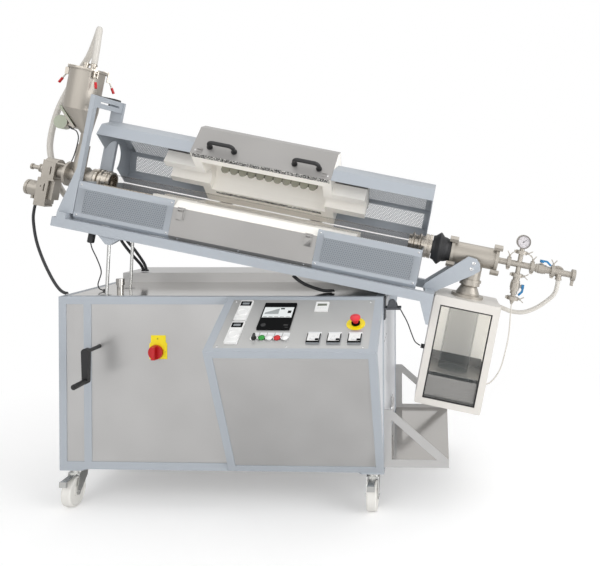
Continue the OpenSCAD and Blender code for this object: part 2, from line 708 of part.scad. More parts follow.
module lower_insulation() color("#EFECE6") tilted() {
    collar_w = deck_w + 40;
    difference() {
        along_u(furnace_u0, furnace_u1)
            polygon(tray(front_y + sheet, back_y - sheet, split_w - half_gap, deck_w + sheet, low_chamfer));
        bar_u(muffle_u[0], muffle_u[1], axis_y, axis_w, muffle_d / 2);
        collar_seats(collar_w - collar_gap, split_w + 1);
    }
    collars(collar_w, split_w - half_gap);
    // feet under the collars' free ends
    for (u = [furnace_u0 - collar_l + 20, furnace_u1 + collar_l - 50])
        block([u, axis_y - 40, deck_w + sheet], [u + 30, axis_y + 40, collar_w]);
}

heater_n = 12;
heater_step = 36.5;
heater_w = 22;                      // width and depth of one heater element
heater_t = 11;
heater_span = [38, 165];            // from the rear over the top to the front, in degrees
// Curved heater elements that stand out of the lid's half-round chamber
module heaters() for (i = [0:heater_n - 1]) {
    u = (muffle_u[0] + muffle_u[1] - heater_w) / 2 + (i - (heater_n - 1) / 2) * heater_step;
    translate([u, axis_y, axis_w]) rotate([90, 0, 90]) rotate([0, 0, heater_span[0]])
        rotate_extrude(angle = heater_span[1] - heater_span[0])
            translate([muffle_d / 2 - heater_t, 0]) square([heater_t + 4, heater_w]);
}
module upper_insulation() color("#EFECE6") opened() {
    collar_w = split_w + 90;
    difference() {
        along_u(furnace_u0, furnace_u1)
            polygon(tray(front_y + sheet, back_y - sheet, split_w + half_gap, lid_top - sheet, lid_chamfer));
        bar_u(muffle_u[0], muffle_u[1], axis_y, axis_w, muffle_d / 2);
        collar_seats(split_w - 1, collar_w + collar_gap);
    }
    heaters();
    collars(split_w + half_gap, collar_w);
}

handle_u = [-868, -486];
handle_l = 128;                     // between the feet's outer faces
handle_r = 9;
handle_bend = 20;
handle_reach = 40;
module lid_handles() color(black) opened() for (u = handle_u) {
    w = split_w + 44;
    foot = handle_l / 2 - handle_r;
    bar_u(u - foot + handle_bend, u + foot - handle_bend, front_y - handle_reach, w, handle_r);
    for (side = [-1, 1]) {
        bar_y(u + side * foot, front_y - handle_reach + handle_bend, front_y, w, handle_r);
        bar_y(u + side * foot, front_y - 5, front_y, w, handle_r + 4);
        translate([u + side * (foot - handle_bend), front_y - handle_reach + handle_bend, w])
            rotate([0, 0, side > 0 ? -90 : 180]) rotate_extrude(angle = 90)
                translate([handle_bend, 0]) circle(r = handle_r);
    }
}

// ---------------------------------------------------------------- working tube
tube_r = tube_d / 2;
flange_bore = tube_r - 8;
module working_tube() color("#DDE6EA") tilted() pipe_u(-1400, 40, axis_y, axis_w, tube_r, tube_r - tube_wall);

// Turned profile around the tube axis: points are (radius, u)
module turned(profile)
    tilted() translate([0, axis_y, axis_w]) rotate([0, 90, 0]) rotate_extrude() polygon(profile);

module tube_flanges() color(steel) {
    seat = tube_r + 0.1;
    rim_r = tube_r + 12;
    groove_r = tube_r + 4;
    // left end: clamp ring, body and seal ring
    turned([
        [flange_bore, -1452], [rim_r, -1452], [rim_r, -1440], [groove_r, -1436], [groove_r, -1430],
        [rim_r, -1428], [rim_r, -1420], [rim_r - 4, -1414], [rim_r - 4, -1400],
        [rim_r, -1398], [rim_r, -1392], [rim_r - 4, -1390],
        [rim_r - 4, -1378], [seat, -1378], [seat, -1402], [flange_bore, -1402]
    ]);
    // right end: two clamp discs and a wide ring
    turned([
        [seat, 10], [tube_r + 2, 10], [tube_r + 2, 22], [rim_r, 26], [rim_r, 32], [groove_r, 38],
        [groove_r, 52], [rim_r, 56],
        [rim_r, 62], [tube_r + 6, 68], [tube_r + 6, 84], [rim_r + 4, 84], [rim_r + 4, 96],
        [rim_r + 2, 98], [rim_r + 2, 102], [rim_r + 4, 104], [rim_r + 4, 116], [flange_bore, 116],
        [flange_bore, 42], [seat, 42]
    ]);
}

// ---------------------------------------------------------------- feeder
barrel_r = barrel_d / 2;
screw_r = barrel_r - 4;
screw_shaft_r = 6;
module feeder_housing() color(feeder_steel) {
    tilted() difference() {
        union() {
            bar_u(-1632, -1456, axis_y, axis_w, barrel_r);
            bar_u(-1592, -1580, axis_y, axis_w, 57);
            bar_u(-1512, -1502, axis_y, axis_w, 46);
            bar_u(-1470, -1456, axis_y, axis_w, 46);
            // spigot that carries the rotating tube's left end
            bar_u(-1457, -1441, axis_y, axis_w, flange_bore - run_gap);
            bar_w(outlet_u, axis_y, axis_w, outlet_w - 60, outlet_r + 6);
        }
        bar_u(-1633, -1450, axis_y, axis_w, screw_shaft_r + run_gap);
        bar_u(-1626, -1440, axis_y, axis_w, barrel_r - 3);
        bar_w(outlet_u, axis_y, axis_w, outlet_w, outlet_r - 3);
    }
}

module feed_screw() color("silver") tilted() {
    bar_u(-1648, -1440, axis_y, axis_w, screw_shaft_r);
    translate([-1620, axis_y, axis_w]) rotate([0, 90, 0])
        linear_extrude(height = 160, twist = -360 * 4, slices = 48)
            translate([0, -2]) square([screw_r, 4]);
}

module hopper() color(feeder_steel) tilted() {
    r = hopper_d / 2;
    top = hopper_w + hopper_h;
    difference() {
        union() {
            bar_w(hopper_u, axis_y, hopper_w, top, r);
            bar_w(hopper_u, axis_y, top - 5, top, r + 9);
            bar_w(outlet_u, axis_y, outlet_w - 60, outlet_w + 1, outlet_r);
            bar_w(outlet_u, axis_y, outlet_w - 60, outlet_w - 52, outlet_r + 6);
            hull() {
                bar_w(hopper_u, axis_y, hopper_w - 0.5, hopper_w, r);
                bar_w(outlet_u, axis_y, outlet_w, outlet_w + 0.5, outlet_r);
            }
        }
        bar_w(hopper_u, axis_y, hopper_w - 0.1, top + 1, r - sheet);
        bar_w(outlet_u, axis_y, outlet_w - 61, outlet_w + 2, outlet_r - sheet);
        hull() {
            bar_w(hopper_u, axis_y, hopper_w - 0.5, hopper_w, r - sheet);
            bar_w(outlet_u, axis_y, outlet_w, outlet_w + 0.5, outlet_r - sheet);
        }
    }
    // vibrator on a plate along the cone's steep side
    slope_a = atan((hopper_u - r - (outlet_u - outlet_r)) / (outlet_w - hopper_w));
    translate([hopper_u - r, axis_y, hopper_w]) rotate([0, -slope_a, 0]) {
        block([-12.5, -26, -112], [-0.5, 26, 6]);
        color("#8E9482") bar_y(-45, -24, 24, -56, 32);
        color(black) bar_y(-22, -16, 16, -92, 11);
    }
}

lid_w = hopper_w + hopper_h;
port_u = [-1606, -1570];
// Toggle clamp over the hopper's rim: hook, body, wire and red grip
module toggle_clamp(a) translate([hopper_u, axis_y, lid_w]) rotate([0, 0, a]) {
    r = hopper_d / 2 + 9;
    block([r - 22, -6, 6], [r + 12, 6, 14]);
    block([r + 0.5, -9, -34], [r + 4, 9, 14]);
    for (y = [-9, 6]) block([r + 0.5, y, -34], [r + 18, y + 3, -2]);
    translate([r + 12, 9, -12]) rotate([90, 0, 0]) cylinder(r = 5, h = 18);
    translate([r + 12, 9, -28]) rotate([90, 0, 0]) cylinder(r = 4, h = 18);
    translate([r + 12, 0, -28]) rotate([0, 150, 0]) {
        cylinder(r = 3, h = 34);
        color("#C8202B") translate([0, 0, 30]) cylinder(r = 6, h = 28);
    }
}
module hopper_lid() color(feeder_steel) tilted() {
    bar_w(hopper_u, axis_y, lid_w, lid_w + 6, hopper_d / 2 + 9);
    for (u = port_u) {
        bar_w(u, axis_y, lid_w + 6, lid_w + 34, 12);
        bar_w(u, axis_y, lid_w + 24, lid_w + 32, 16);
        bar_w(u, axis_y, lid_w + 6, lid_w + 12, 15);
    }
    for (a = [180, -40, 40]) toggle_clamp(a);
}

motor_w = 150;
motor_u = -1738;
slot_d = 6;
// Upright slot with round ends in the drive unit's front faces
module drive_slot(u, w0, w1) {
    block([u - slot_d / 2, axis_y - 60, w0], [u + slot_d / 2, axis_y - 30, w1]);
    for (w = [w0, w1]) bar_y(u, axis_y - 60, axis_y - 30, w, slot_d / 2);
}
module drive_unit() {
    color(feeder_steel) tilted() {
        // bearing block on the screw axis, with a slot in its front face
        difference() {
            union() {
                block([-1692, axis_y - 42, 206], [-1634, axis_y + 42, 282]);
                bar_u(-1692, -1634, axis_y, axis_w + 14, 42);
            }
            bar_u(-1650, -1633, axis_y, axis_w, screw_shaft_r + run_gap);
            drive_slot(-1652, 230, 262);
        }
        // side plate and gearbox below it
        difference() {
            block([-1704, axis_y - 42, 78], [-1652, axis_y - 34, 206]);
            drive_slot(-1668, 150, 180);
            bar_y(-1684, axis_y - 60, axis_y - 30, 168, slot_d / 2);
        }
        block([-1704, axis_y - 42, 78], [-1650, axis_y + 20, 88]);
        block([-1700, axis_y - 34, 88], [-1656, axis_y + 36, 206]);
        block([-1656, axis_y - 26, 112], [-1632, axis_y + 30, 206]);
        block([-1700, axis_y - 46, 200], [-1626, axis_y + 46, 208]);
        // motor with its end cap
        bar_u(-1752, -1700, axis_y, motor_w, 35);
        bar_u(-1756, -1752, axis_y, motor_w, 32);
        bar_u(-1768, -1756, axis_y, motor_w, 35);
        bar_u(-1772, -1768, axis_y, motor_w, 28);
        // port with clamps on the free end
        bar_u(-1764, -1692, axis_y, axis_w, 10);
        bar_u(-1712, -1704, axis_y, axis_w, 24);
        bar_u(-1726, -1718, axis_y, axis_w, 19);
        bar_u(-1768, -1760, axis_y, axis_w, 14);
        block([-1716, axis_y - 4, axis_w + 18], [-1710, axis_y + 4, axis_w + 42]);
        // tie bars to the barrel flange
        for (y = [axis_y - 34, axis_y + 34]) bar_u(-1634, -1592, y, 284, 4);
        // cable gland
        bar_w(motor_u, axis_y, motor_w - 49, motor_w - 34, 8);
    }
}

// ---------------------------------------------------------------- discharge
module discharge_tee() color(feeder_steel) tilted() {
    r = tee_d / 2;
    difference() {
        union() {
            bar_u(tee_u[0], tee_u[1], axis_y, axis_w, r);
            for (u = [tee_u[0], tee_u[1] - 14]) bar_u(u, u + 14, axis_y, axis_w, r + 9);
            bar_w(branch_u, axis_y, 128, axis_w, 42);
            bar_w(branch_u, axis_y, 128, 138, 50);
            bar_w(branch_u, axis_y, 112, 128, 46);
            translate([branch_u, axis_y, 78]) cylinder(r1 = 52, r2 = 34, h = 34);
            bar_w(branch_u, axis_y, box_top, 70, 72);
            bar_w(branch_u, axis_y, 70, 78, 52);
            // spacers to the arms
            bar_y(branch_u, arm_y[0] + 10, arm_y[1], 214, 9);
        }
        bar_u(tee_u[0] - 1, tee_u[1] - 6, axis_y, axis_w, r - 3);
        bar_w(branch_u, axis_y, box_top - 1, axis_w, 30);
    }
    // claw clamps round both flanges
    for (u = [tee_u[0], tee_u[1] - 14], a = [30:120:270]) translate([u, axis_y, axis_w]) rotate([a, 0, 0])
        block([-12, -13, r + 9.3], [26, 13, r + 24]);
}

// Rubber bellows, with the spigot that carries the rotating tube's right end
module bellows() color(black) turned([
    [26, 98], [flange_bore - run_gap, 98], [flange_bore - run_gap, 118], [52, 118], [56, 130], [72, 148],
    [72, 152], [56, 168], [54, 180], [50, 190], [50, tee_u[0]], [26, tee_u[0]]
]);

box_u1 = box_u + box_w;
box_y1 = box_y + box_d;
box_low = box_top - box_h;
door_t = 18;
frame_side = 30;
box_wall = 12;
tray_h = 168;                       // steel tray in the lower part of the box
platform_h = 128;                   // table for the glass vessel
bottle_h = 300;
edge_r = 8;
// Square ring between two rectangles in u and w, drawn from y0 to y1
module box_ring(y0, y1, side, low, high) along_y(y0, y1) difference() {
    hull() for (u = [box_u + edge_r, box_u1 - edge_r], w = [box_low + edge_r, box_top - edge_r])
        translate([u, w]) circle(r = edge_r);
    translate([box_u + side, box_low + low]) square([box_w - 2 * side, box_h - low - high]);
}
module collecting_box() color(cream) tilted() {
    difference() {
        block([box_u, box_y + door_t, box_low], [box_u1, box_y1, box_top]);
        block([box_u + box_wall, box_y + door_t - 1, box_low + box_wall],
            [box_u1 - box_wall, box_y1 - box_wall, box_top - box_wall]);
        bar_w(branch_u, axis_y, box_top - box_wall - 1, box_top + 1, 30);
    }
    // steel tray with the vessel's table, in the lower part
    color(steel) {
        y0 = box_y + door_t + 4;
        y1 = box_y1 - box_wall;
        u0 = box_u + box_wall;
        u1 = box_u1 - box_wall;
        w0 = box_low + box_wall;
        for (u = [u0, u1 - sheet]) block([u, y0, w0], [u + sheet, y1, w0 + tray_h]);
        block([u0, y1 - sheet, w0], [u1, y1, w0 + tray_h]);
        block([u0, y0, w0], [u1, y0 + sheet, w0 + platform_h - 15]);
        block([u0, y0 + 6, w0 + platform_h - sheet], [u1, y1, w0 + platform_h]);
        for (u = [u0 + 20, u1 - 40]) block([u, y0 + 30, w0], [u + 20, y1 - 20, w0 + platform_h]);
    }
    // hose ports on the right wall and the cable gland on the left wall
    bar_u(box_u1, box_u1 + 12, 300, 34, 13);
    bar_u(box_u1, box_u1 + 10, axis_y, -316, 7);
    color(black) bar_u(box_u - 16, box_u, axis_y, -202, 10);
}
module box_door() color(cream) tilted()
    box_ring(box_y, box_y + door_t - 0.5, frame_side, frame_side - 3, frame_side + 8);
module box_window() color("#C9D2D6") tilted()
    block([box_u + frame_side, box_y + 6, box_low + frame_side - 3],
        [box_u1 - frame_side, box_y + 12, box_top - frame_side - 8]);
module glass_bottle() color("#DDE6EA") tilted() {
    w0 = box_low + box_wall + platform_h + 0.3;
    difference() {
        bar_w(branch_u, axis_y, w0, w0 + bottle_h, bottle_d / 2);
        bar_w(branch_u, axis_y, w0 + 4, w0 + bottle_h + 1, bottle_d / 2 - 4);
    }
}

// Clamps of the gas pipes, each with a bolt and the two wings of its nut
module wings() for (a = [-35, 35]) rotate([0, a, 0]) translate([-2, -2.5, 0]) cube([4, 5, 22]);
module clamp_u(u, w) {
    bar_u(u - 8, u + 8, axis_y, w, pipe_r + 12);
    block([u - 6, axis_y - 7, w - pipe_r - 18], [u + 6, axis_y + 7, w - pipe_r - 8]);
    translate([u, axis_y, w + pipe_r + 10]) {
        cylinder(r = 5, h = 12);
        translate([0, 0, 8]) wings();
    }
}
module clamp_w(u, w) {
    bar_w(u, axis_y, w - 8, w + 8, pipe_r + 12);
    block([u - pipe_r - 18, axis_y - 7, w - 6], [u - pipe_r - 8, axis_y + 7, w + 6]);
    translate([u + pipe_r + 10, axis_y, w]) rotate([0, 90, 0]) {
        cylinder(r = 5, h = 12);
        translate([0, 0, 8]) wings();
    }
}
// Ball valve body along z: two screwed ends and the ball's housing
module valve_body(l) {
    cylinder(r = pipe_r + 2, h = l);
    translate([0, 0, l * 0.2]) cylinder(r = pipe_r + 6, h = l * 0.6, $fn = 8);
    translate([0, 0, l * 0.34]) cylinder(r = pipe_r + 8, h = l * 0.32);
}
valve_u = 615;
valve_w = 150;
valve_l = 76;
gauge_w = 349;
gauge_r = 31;
stem_r = 6;
stem_w = axis_w + 28;               // top of the right valve's stem, over the pipe's axis
stem_u = cross_u + 28;              // end of the lower valve's stem
elbow_u = 700;
module gas_manifold() color(feeder_steel) tilted() {
    difference() {
        union() {
            bar_u(tee_u[1], 770, axis_y, axis_w, pipe_r);
            for (u = [469, 575, 668]) clamp_u(u, axis_w);
            translate([valve_u - valve_l / 2, axis_y, axis_w]) rotate([0, 90, 0]) valve_body(valve_l);
            bar_w(cross_u, axis_y, 78, gauge_w - gauge_r, pipe_r - 3);
            for (w = [301, 197, 92]) clamp_w(cross_u, w);
            translate([cross_u, axis_y, valve_w - valve_l / 2]) valve_body(valve_l);
            // reducer and screwed end over the purge tube
            bar_w(cross_u, axis_y, 64, 78, 5);
            translate([cross_u, axis_y, 70]) cylinder(r = 8, h = 10, $fn = 6);
            // exhaust branch below the pipe and the closed branch behind it
            bar_w(elbow_u, axis_y, axis_w - 34, axis_w, pipe_r - 2);
            bar_w(elbow_u, axis_y, axis_w - 34, axis_w - 26, pipe_r + 1);
            bar_y(elbow_u, axis_y, axis_y + 46, axis_w, pipe_r);
            bar_y(elbow_u, axis_y + 30, axis_y + 46, axis_w, pipe_r + 12);
            // end flange with its clamp hanging down
            bar_u(754, 770, axis_y, axis_w, pipe_r + 12);
            block([756, axis_y - 7, axis_w - pipe_r - 34], [768, axis_y + 7, axis_w - pipe_r - 8]);
            // stems of the two valves
            bar_w(valve_u, axis_y, axis_w + pipe_r, stem_w, stem_r);
            bar_u(cross_u + pipe_r, stem_u, axis_y, valve_w, stem_r);
        }
        bar_u(735, 771, axis_y, axis_w, 12);
    }
    // pressure gauge with its front ring
    difference() {
        bar_y(cross_u, axis_y - 17, axis_y + 15, gauge_w, gauge_r);
        bar_y(cross_u, axis_y - 18, axis_y - 13, gauge_w, gauge_r - 4);
    }
}
// Lever of a ball valve along z: a hub on the stem and a grip that bends down at its end
module valve_lever() {
    cylinder(r = 10, h = 12);
    translate([0, 0, 9]) rotate([90, 0, 0]) linear_extrude(12, center = true)
        polygon([[-8, -5], [-8, 3], [24, 3], [44, -12], [38, -18], [20, -5]]);
}
module valve_handle_right() color("#1B6FA8")
    tilted() translate([valve_u, axis_y, stem_w + 0.3]) valve_lever();
module valve_handle_down() color("#1B6FA8") tilted() translate([stem_u + 0.3, axis_y, valve_w])
    rotate([0, 90, 0]) valve_lever();

// ---------------------------------------------------------------- hoses and leads
// Routes in the tilting frame's axes
vent_route = [[-1570, 245, 764], [-1571, 246, 810], [-1578, 252, 885], [-1588, 266, 928], [-1609, 290, 885],
    [-1645, 320, 800], [-1695, 340, 710], [-1733, 348, 620], [-1760, 350, 530], [-1770, 350, 440],
    [-1767, 350, 350], [-1743, 350, 278], [-1712, 345, 212], [-1671, 340, 163], [-1626, 335, 124],
    [-1575, 332, 100], [-1515, 332, 84], [-1481, 332, 82]];
exhaust_route = [[700, 245, 211], [702, 247, 180], [697, 258, 142], [667, 275, 97], [628, 287, 58],
    [583, 296, 31], [535, 300, 24], [505, 300, 28], [475, 300, 34]];
purge_route = [[518, 245, 63], [524, 245, 10], [532, 245, -56], [534, 245, -126], [528, 245, -221],
    [512, 245, -272], [493, 245, -302], [472, 245, -316]];
vibrator_route = [[-1604, 218, 452], [-1576, 214, 446], [-1558, 210, 420], [-1556, 208, 380],
    [-1560, 210, 346], [-1571, 222, 320], [-1583, 236, 305]];
// Routes in the cabinet's axes, because their two ends are on different bodies
motor_route = [[-252, 245, 1288], [-259, 244, 1255], [-260, 240, 1209], [-231, 215, 1120], [-172, 170, 1034],
    [-92, 110, 953], [-34, 70, 912], [0, 54, 900.5]];
probe_route = [[97, 80, 1116], [102, 83, 1090], [114, 95, 1051], [121, 115, 1005], [118, 127, 978],
    [103, 140, 950], [91, 150, 925], [95, 157, 905], [114, 162, 897]];
power_routes = [
    [[20, 448, 1172], [34, 450, 1132], [57, 456, 1086], [87, 480, 1032], [118, 510, 978], [128, 520, 947]],
    [[50, 448, 1167], [62, 450, 1130], [82, 456, 1092], [104, 482, 1050], [134, 512, 984], [143, 520, 947]],
    [[985, 86, 972], [1003, 100, 952], [1030, 112, 932], [1071, 122, 914], [1110, 126, 903],
        [1145, 128, 901.5]]
];
box_wire_route = [[1446, 56, 837], [1457, 80, 810], [1474, 120, 766], [1488, 180, 708], [1500, 225, 664],
    [1512, 240, 648], [1525, 245, 639]];

module vent_hose() color("#C9C2B4") tilted() cord(smooth(vent_route, 3), 28, 12);
module exhaust_hose() color("#C9C2B4") tilted() cord(smooth(exhaust_route, 3), 20, 12);
module purge_tube() color("#B8B0A4") tilted() cord(smooth(purge_route, 4), 6);
module vibrator_wire() color(black) tilted() cord(smooth(vibrator_route, 4), 5);
module motor_cable() color(black) at_origin() cord(smooth(motor_route, 4), 13, 10);
module probe_wire() color(black) {
    at_origin() cord(smooth(probe_route, 4), 5);
    tilted() bar_w(-1342, 80, -18, beam_w, 15);
}
module power_cables() color(black) at_origin() for (r = power_routes) cord(smooth(r, 4), 14, 10);
module box_wire() color("#77797B") at_origin() cord(smooth(box_wire_route, 4), 5);

cabinet_frame();
cabinet_panels();
console_fascia();
table_top();
switchgear_box();
side_shelf();
pivot_bearings();
controller();
panel_instruments();
switch_plates();
rear_caster_forks();
switch_knob();
estop_button();
selector_knob();
green_button();
white_button_left();
red_button();
white_button_right();
crank_arm();
crank_grip();
caster_fork_left();
caster_fork_right();
front_wheel_left();
front_wheel_right();
rear_wheel_left();
rear_wheel_right();
lift_rods();
tilt_frame();
feed_portal();
lower_housing();
lower_covers();
lower_insulation();
drive_unit();
hopper();
hopper_lid();
feeder_housing();
feed_screw();
working_tube();
tube_flanges();
upper_housing();
upper_covers();
upper_insulation();
lid_handles();
discharge_tee();
bellows();
collecting_box();
box_door();
box_window();
glass_bottle();
gas_manifold();
valve_handle_right();
valve_handle_down();
motor_cable();
vibrator_wire();
vent_hose();
exhaust_hose();
purge_tube();
probe_wire();
power_cables();
box_wire();
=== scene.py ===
import json
import math

import bmesh
import bpy
from mathutils import Matrix, Vector


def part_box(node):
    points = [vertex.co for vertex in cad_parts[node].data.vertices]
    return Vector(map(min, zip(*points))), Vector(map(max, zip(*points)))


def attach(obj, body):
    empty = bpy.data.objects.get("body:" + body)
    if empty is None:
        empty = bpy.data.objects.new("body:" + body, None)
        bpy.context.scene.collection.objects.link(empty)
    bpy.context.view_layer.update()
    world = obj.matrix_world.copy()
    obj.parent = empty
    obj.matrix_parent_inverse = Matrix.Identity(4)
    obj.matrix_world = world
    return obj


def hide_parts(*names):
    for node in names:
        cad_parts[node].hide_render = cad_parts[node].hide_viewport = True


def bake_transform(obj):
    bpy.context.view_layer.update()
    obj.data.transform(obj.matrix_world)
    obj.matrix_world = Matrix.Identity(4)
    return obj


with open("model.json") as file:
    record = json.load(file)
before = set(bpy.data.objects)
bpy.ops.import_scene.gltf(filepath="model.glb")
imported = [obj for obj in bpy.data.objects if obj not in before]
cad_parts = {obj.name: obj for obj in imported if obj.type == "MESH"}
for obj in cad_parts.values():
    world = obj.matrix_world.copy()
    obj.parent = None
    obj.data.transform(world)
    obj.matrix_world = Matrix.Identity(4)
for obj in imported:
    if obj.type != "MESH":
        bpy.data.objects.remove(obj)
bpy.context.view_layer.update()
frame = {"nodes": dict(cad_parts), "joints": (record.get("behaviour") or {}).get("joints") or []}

# The machine's own axes, in millimetres
joints = {joint["name"]: joint for joint in frame["joints"]}
tubeAxis = Vector(joints["tube_spin"]["axis"])
tilt = math.atan2(-tubeAxis.z, tubeAxis.x)
lidAngle = math.radians(joints["lid_open"]["range_deg"][1])
fasciaNormal = Vector(joints["selector_turn"]["axis"])
fasciaAngle = math.atan2(-fasciaNormal.y, fasciaNormal.z)
millimetres = Matrix.Scale(0.001, 4)

cabinet = {"width": 1380, "depth": 745}
console = {"left": 727, "reach": 300, "nose": 735}
furnace = {"hinge": (206, 240), "left": -998, "right": -368}     # across and up, and along the tube


def turn(angle, axis):
    return Matrix.Rotation(angle, 4, axis)


def shift(x, y, z):
    return Matrix.Translation((x, y, z))


def newObject(name, data):
    made = bpy.data.objects.new(name, data)
    bpy.context.collection.objects.link(made)
    return made


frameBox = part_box("cabinet_frame")
frontCorner = shift(frameBox[0][0], frameBox[1][1] - cabinet["depth"] / 1000, 0)
cabinetAxes = frontCorner @ millimetres
tiltAxes = shift(*joints["furnace_tilt"]["pos_m"]) @ turn(tilt, "Y") @ millimetres
hingeY, hingeW = furnace["hinge"]
lidAxes = tiltAxes @ shift(0, hingeY, hingeW) @ turn(-lidAngle, "X") @ shift(0, -hingeY, -hingeW)
noseCorner = shift(console["left"], -console["reach"], console["nose"])
fasciaRecess = 1
fasciaAxes = cabinetAxes @ noseCorner @ turn(fasciaAngle, "X") @ shift(0, 0, -fasciaRecess)
upright = turn(math.pi / 2, "X")
frontAxes = cabinetAxes @ upright                    # x right, y up, z towards the operator
tubeY = 245                                          # the tube's axis over the cabinet's front plane
machineAxes = tiltAxes @ shift(0, -tubeY, 0)         # along the tube, across and upright
openAxes = lidAxes @ shift(0, -tubeY, 0)             # the same, turned up with the lid

camera = newObject("camera", bpy.data.cameras.new("camera"))
bpy.context.scene.camera = camera
cameraFit = {
    "place": (1.6188, -2.7111, 1.3049),     # in metres, from the cabinet's left front corner
    "yaw": 2.31,
    "pitch": -0.19,
    "roll": -0.25,
    "focal": 655,                           # in pixels
    "imageWidth": 600,
    "sensor": 36,
    "shift": (-0.19, -0.138),
    "clip": 60,
}
camera.location = Vector(cameraFit["place"]) + frontCorner.translation
camera.rotation_euler = (
    turn(math.radians(cameraFit["yaw"]), "Z")
    @ turn(math.radians(90 + cameraFit["pitch"]), "X")
    @ turn(math.radians(cameraFit["roll"]), "Z")
).to_euler()
camera.data.sensor_width = cameraFit["sensor"]
camera.data.lens = cameraFit["sensor"] * cameraFit["focal"] / cameraFit["imageWidth"]
camera.data.shift_x, camera.data.shift_y = cameraFit["shift"]
camera.data.clip_end = cameraFit["clip"]


# An sRGB hex colour as the linear one that shaders take
def linear(hexColour):
    channels = [int(hexColour[i:i + 2], 16) / 255 for i in (1, 3, 5)]
    return [c / 12.92 if c <= 0.04045 else ((c + 0.055) / 1.055) ** 2.4 for c in channels] + [1]


# Adds a shader node; an input is a value or the socket that feeds it
def addNode(tree, kind, inputs=None, **settings):
    node = tree.nodes.new("ShaderNode" + kind)
    for key, value in settings.items():
        setattr(node, key, value)
    for key, value in (inputs or {}).items():
        if isinstance(value, bpy.types.NodeSocket):
            tree.links.new(value, node.inputs[key])
        else:
            node.inputs[key].default_value = value
    return node


def newTree(name):
    material = bpy.data.materials.new(name)
    material.use_nodes = True
    material.node_tree.nodes.clear()
    return material, material.node_tree


# Carries a value that runs from start to end over to low and high
def ramp(tree, value, low, high, start=0, end=1):
    limits = {"Value": value, "From Min": start, "From Max": end, "To Min": low, "To Max": high}
    return addNode(tree, "MapRange", limits).outputs[0]


# grain: size of the surface's grain in mm; depth: how far it stands out, in mm
# stretch: how much longer the grain is along x; angle: turn of x about y
# mottle: how far broad patches differ in brightness; fleck: colour and size in mm of flecks strewn over it
def finish(name, colour, roughness, grain, depth, metallic=0.0, stretch=1.0, angle=0.0, mottle=0.04,
           fleck=None, **sockets):
    patches, spread = 2.5, 0.08
    material, tree = newTree(name)
    place = addNode(tree, "TexCoord").outputs["Object"]
    turned = addNode(tree, "Mapping", {"Vector": place, "Rotation": (0, angle, 0)}).outputs[0]
    drawn = addNode(tree, "Mapping", {"Vector": turned, "Scale": (1, stretch, stretch)}).outputs[0]
    scale = 1000 / (grain * max(stretch, 1))
    fine = addNode(tree, "TexNoise", {"Vector": drawn, "Scale": scale, "Detail": 3}).outputs["Fac"]
    broad = addNode(tree, "TexNoise", {"Vector": place, "Scale": patches, "Detail": 2}).outputs["Fac"]
    shade = ramp(tree, broad, 1 - mottle, 1 + mottle, 0.3, 0.7)
    tint = addNode(tree, "HueSaturation", {"Color": linear(colour), "Value": shade}).outputs[0]
    if fleck:
        fleckColour, fleckSize = fleck
        strewn = addNode(tree, "TexNoise", {"Vector": turned, "Scale": 1000 / fleckSize, "Detail": 1})
        share = ramp(tree, strewn.outputs["Fac"], 0, 1, 0.5, 0.56)
        strewnOver = {"Fac": share, "Color1": tint, "Color2": linear(fleckColour)}
        tint = addNode(tree, "MixRGB", strewnOver).outputs[0]
    gloss = ramp(tree, fine, max(roughness - spread, 0.01), roughness + spread)
    bump = addNode(tree, "Bump", {"Height": fine, "Strength": 0.35, "Distance": depth / 1000}).outputs[0]
    shader = addNode(tree, "BsdfPrincipled", {"Base Color": tint, "Metallic": metallic, "Roughness": gloss,
                                              "Normal": bump, **sockets})
    addNode(tree, "OutputMaterial", {"Surface": shader.outputs[0]})
    return material


# Polyester powder coat, sprayed and baked: even blue-grey with a fine orange peel
powderCoat = finish("powder_coated_steel", "#A9AFB6", 0.42, 3, 0.10, mottle=0.02)
# Stainless sheet, ground in one direction: soft grey with fine level lines, or lines along the tilted housing
brushed = {"grain": 0.8, "depth": 0.05, "stretch": 60}
brushedSteel = finish("brushed_stainless_sheet", "#BDBCBB", 0.36, metallic=0.75, mottle=0.08, **brushed)
fasciaSteel = finish("brushed_stainless_fascia", "#B2B2B1", 0.42, metallic=0.6, mottle=0.05, **brushed)
brushedTilted = finish("brushed_stainless_housing", "#A09E9C", 0.44, metallic=0.7, angle=-tilt, mottle=0.06,
                       **brushed)
# The right side wall: the same stainless painted lighter, as painted light falling from the right
sideSheetPaintedLight = finish("brushed_stainless_side_painted_light", "#E2E4E8", 0.36, metallic=0.4, mottle=0.05, **brushed)
# Stainless sheet with a polished face: mirrors what stands over it, a little blurred
polishedSteel = finish("polished_stainless_sheet", "#B4B1AD", 0.14, 30, 0.02, metallic=1.0, stretch=4,
                       mottle=0.03)
# Turned and blasted stainless of the process parts: warmer and duller
turnedSteel = finish("turned_stainless", "#B5AEA4", 0.26, 0.6, 0.04, metallic=0.9, mottle=0.05)
blastedSteel = finish("bead_blasted_stainless", "#ABA59C", 0.4, 0.7, 0.06, metallic=0.7, mottle=0.05)
# Zinc-plated steel of the casters and lift rods
zincPlate = finish("zinc_plated_steel", "#C6C6C4", 0.25, 1.2, 0.04, metallic=1.0, mottle=0.06)
# Polished chrome of the button bezels, the screw heads and the fan's guard
chromeTrim = finish("chromed_brass", "#D6D6D6", 0.1, 5, 0.01, metallic=1.0, mottle=0.01)
# Cream enamel of the collecting box; its white liner, whose slight glow is painted light standing in for
# light bounced round the box; and the darker steel tray in it
creamEnamel = finish("cream_enamelled_steel", "#D9D5CF", 0.35, 4, 0.08, mottle=0.015)
linerPaintedGlow = finish("white_liner_painted_glow", "#F2EFE8", 0.3, 4, 0.08, mottle=0.01,
                    **{"Emission Color": linear("#FFFDF8"), "Emission Strength": 0.22})
# A darker stainless for the tray and the collar channels
darkerSteel = finish("darker_stainless_sheet", "#8E8B88", 0.3, 0.8, 0.05, metallic=0.8, stretch=40, mottle=0.12)
